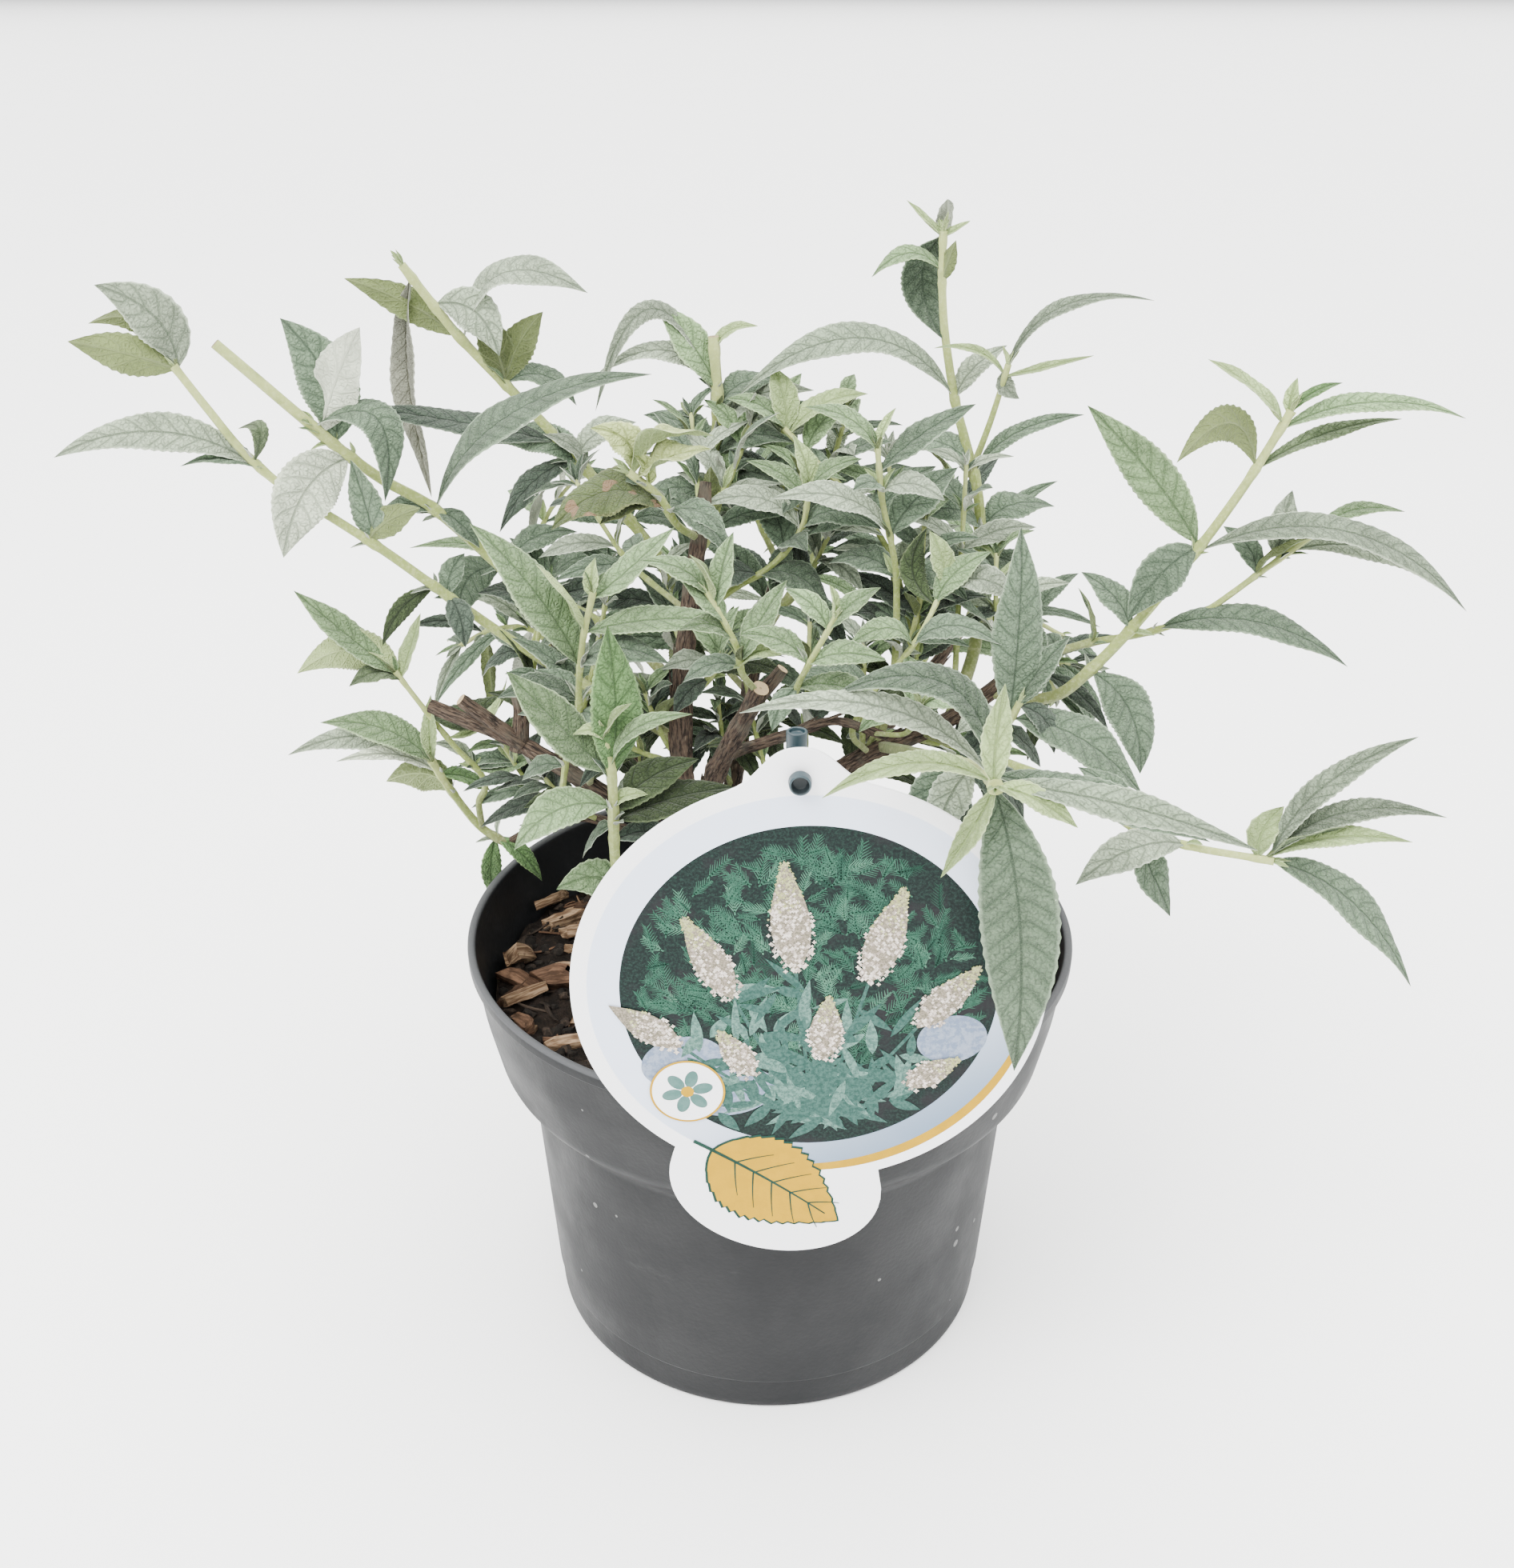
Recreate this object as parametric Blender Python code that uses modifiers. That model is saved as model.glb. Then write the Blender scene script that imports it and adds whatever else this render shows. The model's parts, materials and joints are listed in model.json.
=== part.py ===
"""Butterfly bush in a round nursery pot, with its label on a peg.

Units are metres, +Z up. The origin is the centre of the pot's underside.
Sizes below are in millimetres and are turned into metres as meshes are made.

The shrub stands on one short woody stem that forks just above the soil. Woody
limbs leave the fork, each one tapering tube. Leafy shoots grow from the limbs:
every shoot is one solid, a slender stem with side twigs and leaves in pairs
fused on. A shoot starts STAND_OFF clear of the limb that carries it, and a
leaf that would touch another solid is turned a little, shortened or left out.
"""

import math
import random

import bmesh
import bpy
import numpy as np
from mathutils import Matrix, Vector
from mathutils.bvhtree import BVHTree

MM = 0.001
SEED = 11

# Pot, turned
RIM_RADIUS = 95.0
POT_HEIGHT = 137.0
WALL = 1.5
COLLAR_FOOT = (87.6, 98.0)  # radius, height: where the collar turns into its shoulder
KINK = (79.0, 89.0)  # the shoulder meets the body
FOOT_STEP = (73.4, 12.0)
FOOT_RADIUS = 72.4
BASE_THICK = 2.0
POT_SIDES = 40
DRAIN_HOLES, DRAIN_RADIUS, DRAIN_RING = 6, 5.0, 56.0

# Root ball
SOIL_TOP = 115.0
SOIL_GAP = 0.5
SOIL_SIDES = 24

# Label
TAG_CENTRE = Vector((9.0, -100.4, 177.0))
TAG_RADIUS = 60.0
TAG_THICK = 0.9
TAG_TAB = 8.0  # how far the tab stands above the disc
TAG_HOLE = 2.2
TAG_TURN = 2.8  # degrees, anticlockwise as seen from the front
LOBE = (-11.0, -61.0, 29.0, 23.0, -22.0)  # centre x, z, half lengths, turn
STAKE_RADIUS = 2.0
STAKE_TOP = 243.0
STAKE_AT = (5.6, -86.8)

# Shoots
STAND_OFF = 0.35
ROOT_SUNK = 0.4  # how far past the stem's axis a leaf's root starts
TWIG_SIDES = 0  # bevel resolution: four sides
SHORT_LEAF, LONG_LEAF = 18.0, 44.0  # leaves between these have two rings, others one or three
FACING = 24.0  # blades tilt this much towards the light at the front, in degrees
GRAVITY = Vector((0.0, 0.0, -1.0))

for old in list(bpy.data.objects):
    bpy.data.objects.remove(old, do_unlink=True)

shrub = bpy.data.collections.new("Potted butterfly bush")
workshop = bpy.data.collections.new("Cutters")
for group in (shrub, workshop):
    bpy.context.scene.collection.children.link(group)
workshop.hide_render = True


def finish(name, colour, rough, metallic=0.0):
    made = bpy.data.materials.new(name)
    made.use_nodes = True
    surface = made.node_tree.nodes["Principled BSDF"]
    surface.inputs["Base Color"].default_value = (*colour, 1.0)
    surface.inputs["Roughness"].default_value = rough
    surface.inputs["Metallic"].default_value = metallic
    return made


POT_GREY = finish("Pot plastic", (0.105, 0.112, 0.122), 0.55)
EARTH = finish("Soil", (0.035, 0.022, 0.015), 0.95)
BARK = finish("Bark", (0.20, 0.12, 0.08), 0.85)
LEAF_GREEN = finish("Leaf", (0.26, 0.38, 0.22), 0.65)
CARD = finish("Label card", (0.80, 0.82, 0.86), 0.35)
PEG_TEAL = finish("Peg plastic", (0.03, 0.07, 0.09), 0.4)


# ---------------------------------------------------------------- helpers


def add(name, mesh, material, group=shrub):
    thing = bpy.data.objects.new(name, mesh)
    group.objects.link(thing)
    mesh.materials.clear()
    mesh.materials.append(material)
    return thing


def evaluated_mesh(thing, weld=1e-6):
    """The object's mesh with its modifiers or its bevel applied, caps welded."""
    bpy.context.view_layer.update()
    graph = bpy.context.evaluated_depsgraph_get()
    mesh = bpy.data.meshes.new_from_object(thing.evaluated_get(graph))
    bm = bmesh.new()
    bm.from_mesh(mesh)
    if weld:
        bmesh.ops.remove_doubles(bm, verts=bm.verts, dist=weld)
        bmesh.ops.recalc_face_normals(bm, faces=bm.faces)
    bm.to_mesh(mesh)
    bm.free()
    return mesh


def turned(name, profile, sides, material):
    """A profile in (radius, height) turned about Z, listed down its outer side."""
    mesh = bpy.data.meshes.new(name)
    verts = [(r * MM, 0, z * MM) for r, z in profile]
    mesh.from_pydata(verts, [(i, i + 1) for i in range(len(verts) - 1)], [])
    thing = add(name, mesh, material)
    screw = thing.modifiers.new("Turn", "SCREW")
    screw.steps = screw.render_steps = sides
    screw.use_merge_vertices = True
    screw.merge_threshold = 1e-5
    screw.use_smooth_shade = True
    return thing


def combine(thing, others, operation="UNION", solver="EXACT"):
    """Joins or cuts with a collection of objects, applies it, removes them."""
    group = bpy.data.collections.new("Operands")
    workshop.children.link(group)
    for other in others:
        for owner in list(other.users_collection):
            owner.objects.unlink(other)
        group.objects.link(other)
    boolean = thing.modifiers.new("Combine", "BOOLEAN")
    boolean.operation = operation
    boolean.solver = solver
    boolean.operand_type = "COLLECTION"
    boolean.collection = group
    mesh = evaluated_mesh(thing, weld=0)
    thing.modifiers.clear()
    thing.data = mesh
    for other in others:
        bpy.data.objects.remove(other, do_unlink=True)
    bpy.data.collections.remove(group)
    return thing


def smooth(points, count):
    """`count` points evenly spaced on a Catmull-Rom curve through `points`."""
    p = [Vector(q) for q in points]
    p = [2 * p[0] - p[1], *p, 2 * p[-1] - p[-2]]
    dense = []
    for a, b, c, d in zip(p, p[1:], p[2:], p[3:]):
        for i in range(24):
            t = i / 24
            dense.append(
                0.5
                * (
                    2 * b
                    + (c - a) * t
                    + (2 * a - 5 * b + 4 * c - d) * t * t
                    + (3 * b - a - 3 * c + d) * t**3
                )
            )
    dense.append(p[-2])
    run = [0.0]
    for a, b in zip(dense, dense[1:]):
        run.append(run[-1] + (b - a).length)
    marks = np.linspace(0, run[-1], count)
    xyz = np.array(dense)
    return [Vector([np.interp(m, run, xyz[:, k]) for k in range(3)]) for m in marks]


def along(path, t):
    """Point and direction at the fraction t of an evenly spaced path."""
    f = min(max(t, 0.0), 1.0) * (len(path) - 1)
    i = min(int(f), len(path) - 2)
    return path[i].lerp(path[i + 1], f - i), (path[i + 1] - path[i]).normalized()


def tube(name, path, radii, sides, material, group=shrub):
    """A tapering tube: a poly curve with a bevel, capped, turned into a mesh."""
    curve = bpy.data.curves.new(name, "CURVE")
    curve.dimensions = "3D"
    curve.bevel_depth = MM
    curve.bevel_resolution = sides
    curve.use_fill_caps = True
    spline = curve.splines.new("POLY")
    spline.points.add(len(path) - 1)
    for point, at, radius in zip(spline.points, path, radii):
        point.co = (*(at * MM), 1.0)
        point.radius = radius
    guide = bpy.data.objects.new(name, curve)
    group.objects.link(guide)
    mesh = evaluated_mesh(guide)
    bpy.data.objects.remove(guide, do_unlink=True)
    bpy.data.curves.remove(curve)
    return add(name, mesh, material, group)


def taper(first, last, count, power=1.0):
    return [first + (last - first) * (i / (count - 1)) ** power for i in range(count)]


# ---------------------------------------------------------------- clearance

placed = []  # (owner, low corner, high corner, tree) of everything that stands


def tree_of(thing, grow=0.0):
    mesh = thing.data
    verts = [v.co + v.normal * grow * MM for v in mesh.vertices]
    return verts, [tuple(f.vertices) for f in mesh.polygons]


def occupy(owner, thing):
    verts, faces = tree_of(thing)
    xyz = np.array(verts)
    placed.append(
        (owner, xyz.min(axis=0), xyz.max(axis=0), BVHTree.FromPolygons(verts, faces))
    )


def blockers(verts, faces, owner):
    """Names of the standing solids, other than the owner's, that this touches."""
    xyz = np.array(verts)
    low, high = xyz.min(axis=0), xyz.max(axis=0)
    tree = None
    found = set()
    for name, a, b, other in placed:
        if name == owner or (low > b).any() or (high < a).any():
            continue
        if tree is None:
            tree = BVHTree.FromPolygons(verts, faces)
        if tree.overlap(other):
            found.add(name)
    return found


def clear_start(path, radius, parent):
    """The path from where a ball of the stem's radius stands clear of its parent."""
    reach = (radius + STAND_OFF) * MM
    trees = [t for n, _, _, t in placed if n == parent]
    fine = smooth(path, 200)
    last = 0
    for i, point in enumerate(fine[:110]):
        for found in trees:
            near, normal, _, distance = found.find_nearest(point * MM, 0.03)
            if near is None:
                continue
            inside = (point * MM - near).dot(normal) < 0
            if inside or distance < reach:
                last = i
    return fine[min(last + 1, 120) :]


# ---------------------------------------------------------------- pot and soil

rim_in = RIM_RADIUS - 1.9
pot_profile = [
    (rim_in, POT_HEIGHT),
    (RIM_RADIUS, POT_HEIGHT),
    (RIM_RADIUS + 0.3, POT_HEIGHT - 3.0),
    (RIM_RADIUS - 1.6, POT_HEIGHT - 3.4),
    (RIM_RADIUS - 3.4, POT_HEIGHT - 20.0),
    COLLAR_FOOT,
    KINK,
    FOOT_STEP,
    (FOOT_RADIUS, 1.2),
    (FOOT_RADIUS - 1.2, 0.0),
    (0.0, 0.0),
]
inner = [
    (0.0, BASE_THICK),
    (FOOT_RADIUS - 3.0, BASE_THICK),
    (KINK[0] - WALL, KINK[1]),
    (COLLAR_FOOT[0] - WALL, COLLAR_FOOT[1] + 0.6),
    (RIM_RADIUS - 3.4 - WALL, POT_HEIGHT - 20.0),
    (rim_in, POT_HEIGHT - 1.2),
]
pot = turned("pot", pot_profile + inner + [pot_profile[0]], POT_SIDES, POT_GREY)
pot.data = evaluated_mesh(pot)
pot.modifiers.clear()
drains = []
for k in range(DRAIN_HOLES):
    turn = math.radians(30 + 60 * k)
    bpy.ops.mesh.primitive_cylinder_add(
        vertices=8,
        radius=DRAIN_RADIUS * MM,
        depth=4 * BASE_THICK * MM,
        location=(
            DRAIN_RING * MM * math.cos(turn),
            DRAIN_RING * MM * math.sin(turn),
            0,
        ),
    )
    drains.append(bpy.context.object)
pot = combine(pot, drains, "DIFFERENCE")

wall_in = [
    (max(r - SOIL_GAP, 0), z + (SOIL_GAP if z == BASE_THICK else 0))
    for r, z in inner[:-2]
]
top_radius = np.interp(
    SOIL_TOP - 4.5, [z for _, z in inner[3:5]], [r for r, _ in inner[3:5]]
)
soil_profile = [
    (0.0, SOIL_TOP),
    (66.0, SOIL_TOP - 0.8),
    (top_radius - SOIL_GAP - 1.0, SOIL_TOP - 2.6),
    (top_radius - SOIL_GAP, SOIL_TOP - 4.0),
]
soil = turned("soil", soil_profile + wall_in[::-1], SOIL_SIDES, EARTH)
soil.data = evaluated_mesh(soil)
soil.modifiers.clear()

CHIPS = [  # x, y, length, width, thickness, heading, tilt
    (-80, -4, 19, 8, 4, 100, 18),
    (-60, 26, 24, 7, 4, 48, 12),
    (-55, 12, 22, 10, 5, 40, 10),
    (-66, -24, 20, 5, 3, 10, -8),
    (-63, -34, 24, 6, 3, 22, 6),
    (36, 40, 22, 8, 4, 70, 10),
    (58, -46, 20, 6, 3, 120, 10),
]
chips = []
for x, y, length, width, thick, heading, tilt in CHIPS:
    bpy.ops.mesh.primitive_cube_add(size=MM, location=(x * MM, y * MM, SOIL_TOP * MM))
    chip = bpy.context.object
    chip.scale = (length, width, thick)
    chip.rotation_euler = (0, math.radians(tilt), math.radians(heading))
    bpy.ops.object.transform_apply(location=False, rotation=True, scale=True)
    chips.append(chip)
soil = combine(soil, chips)
occupy("pot", pot)
occupy("soil", soil)


# ---------------------------------------------------------------- label


def tag_outline(count=72):
    """Points round the label: a disc, a tab at its top and a lobe low on its left."""
    cx, cz, a, b, turn = LOBE
    turn = math.radians(turn)
    points = []
    for i in range(count):
        th = 2 * math.pi * i / count
        off = math.degrees(math.atan2(math.cos(th), math.sin(th)))
        reach = TAG_RADIUS + TAG_TAB * math.exp(-(abs(off / 9.5) ** 2.6))
        # where the ray leaves the lobe's ellipse
        ux = math.cos(th) * math.cos(turn) + math.sin(th) * math.sin(turn)
        uz = -math.cos(th) * math.sin(turn) + math.sin(th) * math.cos(turn)
        px = cx * math.cos(turn) + cz * math.sin(turn)
        pz = -cx * math.sin(turn) + cz * math.cos(turn)
        k2 = (ux / a) ** 2 + (uz / b) ** 2
        k1 = ux * px / a**2 + uz * pz / b**2
        k0 = (px / a) ** 2 + (pz / b) ** 2 - 1
        if k1 * k1 > k2 * k0 and k1 > 0:
            reach = max(reach, (k1 + math.sqrt(k1 * k1 - k2 * k0)) / k2)
        points.append((reach * math.cos(th), reach * math.sin(th)))
    return points


outline = bpy.data.curves.new("tag", "CURVE")
outline.dimensions = "2D"
outline.fill_mode = "BOTH"
outline.extrude = TAG_THICK * MM / 2
edge = outline.splines.new("POLY")
shape = tag_outline()
edge.points.add(len(shape) - 1)
for point, (x, z) in zip(edge.points, shape):
    point.co = (x * MM, z * MM, 0, 1)
edge.use_cyclic_u = True
hole = outline.splines.new("POLY")
hole.points.add(15)
for i, point in enumerate(hole.points):
    th = 2 * math.pi * i / 16
    point.co = (TAG_HOLE * MM * math.cos(th), (60.0 + TAG_HOLE * math.sin(th)) * MM, 0, 1)
hole.use_cyclic_u = True
guide = bpy.data.objects.new("tag", outline)
shrub.objects.link(guide)
tag_frame = (
    Matrix.Translation(TAG_CENTRE * MM)
    @ Matrix.Rotation(math.radians(-TAG_TURN), 4, "Y")
    @ Matrix.Rotation(math.radians(90), 4, "X")
)
tag_mesh = evaluated_mesh(guide)
tag_mesh.transform(tag_frame)
bpy.data.objects.remove(guide, do_unlink=True)
tag = add("tag", tag_mesh, CARD)

hole_at = (tag_frame @ Vector((0, 60.0 * MM, 0))) / MM


def rod(radius, start, end, sides=12):
    start, end = Vector(start), Vector(end)
    bpy.ops.mesh.primitive_cylinder_add(
        vertices=sides,
        radius=radius * MM,
        depth=(end - start).length * MM,
        location=(start + end) / 2 * MM,
        rotation=(end - start).to_track_quat("Z", "Y").to_euler(),
    )
    made = bpy.context.object
    bpy.ops.object.transform_apply(location=True, rotation=True, scale=True)
    return made


sx, sy = STAKE_AT
peg_z = hole_at.z
stake = rod(STAKE_RADIUS, (sx, sy, SOIL_TOP + 1.0), (sx, sy, STAKE_TOP - 2.0))
stake.name = "tag_stake"
for owner in list(stake.users_collection):
    owner.objects.unlink(stake)
shrub.objects.link(stake)
stake.data.materials.append(PEG_TEAL)
front = TAG_CENTRE.y - TAG_THICK / 2
stake = combine(
    stake,
    [
        rod(2.6, (sx, sy, STAKE_TOP - 5.0), (sx, sy, STAKE_TOP)),
        rod(1.7, (hole_at.x, sy, peg_z), (hole_at.x, front - 2.0, peg_z)),
        rod(2.8, (hole_at.x, front - 0.4, peg_z), (hole_at.x, front - 3.6, peg_z)),
    ],
)
occupy("tag", tag)
occupy("tag_stake", stake)


# ---------------------------------------------------------------- woody limbs

LIMBS = {  # name: (carried by, first and last radius, points from the fork out)
    "main_stem": (
        None,
        (6.4, 4.6),
        [(-1, 2, SOIL_TOP + 1.4), (-4, 2, 124), (-12, 1, 144), (-21, 0, 164)],
    ),
    "limb_centre": (
        "main_stem",
        (3.6, 2.3),
        [(-21, 0, 164), (-26, 0, 179), (-27, 5, 204), (-25, 10, 228), (-20, 19, 266)],
    ),
    "limb_left": (
        "main_stem",
        (3.1, 2.0),
        [(-17, 0, 150), (-36, 3, 168), (-54, 6, 180), (-78, 14, 192), (-106, 20, 202)],
    ),
    "limb_front": (
        "main_stem",
        (3.4, 2.4),
        [(-15, 0, 146), (-21, -11, 168), (-17, -18, 195), (-3, -38, 233)],
    ),
    "limb_thin": (
        "limb_front",
        (1.6, 1.1),
        [(-17, -15, 199), (-6, -18, 206), (4, -18, 209), (18, -20, 215), (33, -19, 210)],
    ),
    "limb_right": (
        "main_stem",
        (3.5, 2.2),
        [(-16, 1, 152), (0, 3, 172), (28, 3, 192), (55, 3, 206), (80, 4, 226)],
    ),
    "limb_low_left": (
        "main_stem",
        (2.0, 1.3),
        [(-12, 4, 140), (-40, 14, 158), (-66, 26, 160), (-88, 37, 144)],
    ),
    "limb_back": (
        "main_stem",
        (3.2, 2.0),
        [(-16, 2, 150), (-12, 20, 172), (-6, 44, 200), (4, 62, 236)],
    ),
    "limb_back_left": (
        "main_stem",
        (3.0, 1.9),
        [(-16, 2, 156), (-34, 24, 170), (-56, 48, 186), (-76, 66, 214)],
    ),
    "limb_back_right": (
        "main_stem",
        (3.0, 1.9),
        [(-10, 3, 142), (14, 26, 166), (40, 48, 184), (66, 62, 214)],
    ),
}
SPURS = {  # short stubs cut back long ago, fused to their limb: (from, to, radius)
    "limb_left": [
        ((-77, 13, 192), (-94, 9, 209), 1.9),
        ((-78, 14, 190), (-76, 12, 211), 2.3),
    ],
    "limb_centre": [((-21, 16, 262), (-19, 21, 273), 1.7)],
    "limb_front": [((-4, -34, 228), (3, -34, 237), 1.8)],
    "limb_right": [((76, 4, 222), (78, 2, 234), 1.8)],
}

for name, (parent, (first, last), points) in LIMBS.items():
    path = [Vector(p) for p in points]
    if parent:
        path = clear_start(path, first, parent)
        path = [path[round(i * (len(path) - 1) / 6)] for i in range(7)]
    else:
        path = smooth(path, 6)
    radii = taper(first, last, len(path), 0.8)
    if name == "main_stem":
        radii[0] *= 1.25  # root flare
        path[0].x, path[0].y = path[1].x + 0.5, path[1].y
    limb = tube(name, path, radii, 2, BARK)
    spurs = [
        tube("spur", [Vector(a), Vector(b)], (radius * 1.15, radius), 1, BARK, workshop)
        for a, b, radius in SPURS.get(name, ())
    ]
    if spurs:
        limb = combine(limb, spurs)
    met = blockers(*tree_of(limb, STAND_OFF * 0.6), name)
    if met:
        print("LIMB", name, "touches", met)
    occupy(name, limb)


# ---------------------------------------------------------------- leafy shoots


def leaf_width(s):
    """Share of the full width at the fraction s of a lance-shaped leaf."""
    return math.sin(math.pi * s**0.75) ** 0.8 if 0 < s < 1 else 0.0


def leaf_line(base, reach, arch, s):
    """The midrib: a bend that rises `arch` over the straight line to the tip."""
    side = reach.cross(Vector((0, 0, 1)))
    lift = side.cross(reach).normalized() if side.length > 1e-6 else Vector((0, -1, 0))
    middle = base + reach * 0.42 + lift * arch * 2
    return (
        base * (1 - s) ** 2 + middle * 2 * s * (1 - s) + (base + reach) * s * s
    )


def leaf_mesh(base, reach, arch, width, roll=0.0, grow=0.0):
    """A leaf: a four-sided spindle flattened to a lens and bent along its midrib."""
    bm = bmesh.new()
    length = reach.length + 1.5 * abs(arch)
    rings = 2 + (length > SHORT_LEAF) + (length > LONG_LEAF)
    bmesh.ops.create_uvsphere(bm, u_segments=4, v_segments=rings, radius=1)
    roll = math.copysign(1, reach.x) * (roll + FACING)
    thick = max(0.9, length / 78)
    across = Vector((0, 0, 1)).cross(reach)
    if across.length < 1e-6:
        across = Vector((1, 0, 0))
    across.normalize()
    for v in bm.verts:
        s = 1 - math.acos(max(-1, min(1, v.co.z))) / math.pi
        ring = math.hypot(v.co.x, v.co.y)
        s_at = s - 0.02 * math.sin(2 * math.pi * s)
        here = leaf_line(base, reach, arch, s_at)
        ahead = leaf_line(base, reach, arch, min(s_at + 0.05, 1.05))
        tangent = (ahead - here).normalized()
        wide = Matrix.Rotation(math.radians(roll), 3, tangent) @ across
        up = tangent.cross(wide).normalized()
        if ring > 1e-4:
            x, y = v.co.x / ring, v.co.y / ring
            half = width / 2 * leaf_width(s_at) + grow
            deep = thick / 2 * (0.55 + 0.45 * math.sin(math.pi * s)) + grow
            v.co = here + wide * x * half + up * (y * deep + abs(x) * half * 0.14)
        else:
            v.co = here + tangent * (grow if s > 0.5 else -grow)
    bmesh.ops.scale(bm, vec=(MM, MM, MM), verts=bm.verts)
    return bm


def bm_lists(bm):
    bm.verts.index_update()
    return [v.co.copy() for v in bm.verts], [[v.index for v in f.verts] for f in bm.faces]


class Shoot:
    def __init__(self, name, parent):
        self.name, self.parent = name, parent
        self.stems, self.leaves = [], []
        self.left_out = 0

    def stem(self, points, radii, carried=False):
        """A stem or, when carried, a side twig whose foot is sunk in its stem."""
        if carried:
            path = smooth(points, len(points) + 1)
        else:
            path = clear_start([Vector(p) for p in points], radii[0], self.parent)
            count = len(points) + 1
            path = [path[round(i * (len(path) - 1) / (count - 1))] for i in range(count)]
        made = tube(
            self.name, path, taper(*radii, len(path)), TWIG_SIDES, LEAF_GREEN, workshop
        )
        met = blockers(*tree_of(made, STAND_OFF * 0.6), self.name)
        if met:
            print("STEM", self.name, "touches", met)
        occupy(self.name, made)
        self.stems.append((made, path))
        return path

    def leaf(self, path, t, reach, arch, width, roll, rng, tries=14):
        span = sum((b - a).length for a, b in zip(path, path[1:]))
        base, _ = along(path, min(t, 1 - 1.2 / span))
        reach = Vector(reach)
        base = base - reach.normalized() * ROOT_SUNK
        for k in range(tries):
            small = 1 - 0.02 * k
            spin = Matrix.Rotation(math.radians(rng.uniform(-2.6, 2.6) * k), 3, "Z")
            tip = Matrix.Rotation(
                math.radians(rng.uniform(-2.2, 2.2) * k), 3, Vector((1, 0, 0))
            )
            turn = tip @ spin @ reach * small
            bm = leaf_mesh(base, turn, arch, width * small, roll, 0.3)
            verts, faces = bm_lists(bm)
            bm.free()
            if not blockers(verts, faces, self.name):
                break
        else:
            self.left_out += 1
            return False
        bm = leaf_mesh(base, turn, arch, width * small, roll)
        mesh = bpy.data.meshes.new(self.name)
        bm.to_mesh(mesh)
        bm.free()
        made = add(self.name, mesh, LEAF_GREEN, workshop)
        occupy(self.name, made)
        self.leaves.append(made)
        return True

    def pairs(self, path, count, length, span, spread, phase, droop, rng):
        """Leaves in opposite pairs, each pair a quarter turn on from the last."""
        for i in range(count):
            t = span[0] + (span[1] - span[0]) * i / max(count - 1, 1)
            _, ahead = along(path, t)
            side = ahead.cross(Vector((0, 0, 1)))
            side = side.normalized() if side.length > 0.1 else Vector((1, 0, 0))
            grown = length * (1 - 0.45 * (i / max(count - 1, 1)) ** 1.5)
            for half in (0, 180):
                turn = math.radians(phase + 90 * i + half + rng.uniform(-14, 14))
                out = Matrix.Rotation(turn, 3, ahead) @ side
                lean = math.radians(spread + rng.uniform(-9, 9))
                size = grown * rng.uniform(0.85, 1.08)
                reach = (out * math.sin(lean) + ahead * math.cos(lean)) * size
                reach = reach + GRAVITY * droop * size * rng.uniform(0.6, 1.1)
                self.leaf(path, t, reach, size * 0.11, size * 0.21, rng.uniform(-16, 16), rng)

    def join(self):
        solid = self.stems[0][0]
        rest = [made for made, _ in self.stems[1:]] + self.leaves
        solid.name = self.name
        for owner in list(solid.users_collection):
            owner.objects.unlink(solid)
        shrub.objects.link(solid)
        if rest:
            solid = combine(solid, rest, solver="MANIFOLD")
        solid.name = self.name
        solid.data.materials.clear()
        solid.data.materials.append(LEAF_GREEN)
        drop_scraps(solid)
        return solid


def drop_scraps(thing):
    """Keeps the largest closed piece and removes any loose scrap."""
    bm = bmesh.new()
    bm.from_mesh(thing.data)
    seen, islands = set(), []
    for seed in bm.verts:
        if seed in seen:
            continue
        stack, island = [seed], []
        seen.add(seed)
        while stack:
            v = stack.pop()
            island.append(v)
            for e in v.link_edges:
                w = e.other_vert(v)
                if w not in seen:
                    seen.add(w)
                    stack.append(w)
        islands.append(island)
    islands.sort(key=len)
    for island in islands[:-1]:
        print("scrap dropped from", thing.name, len(island))
        bmesh.ops.delete(bm, geom=island, context="VERTS")
    bm.to_mesh(thing.data)
    bm.free()


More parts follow.
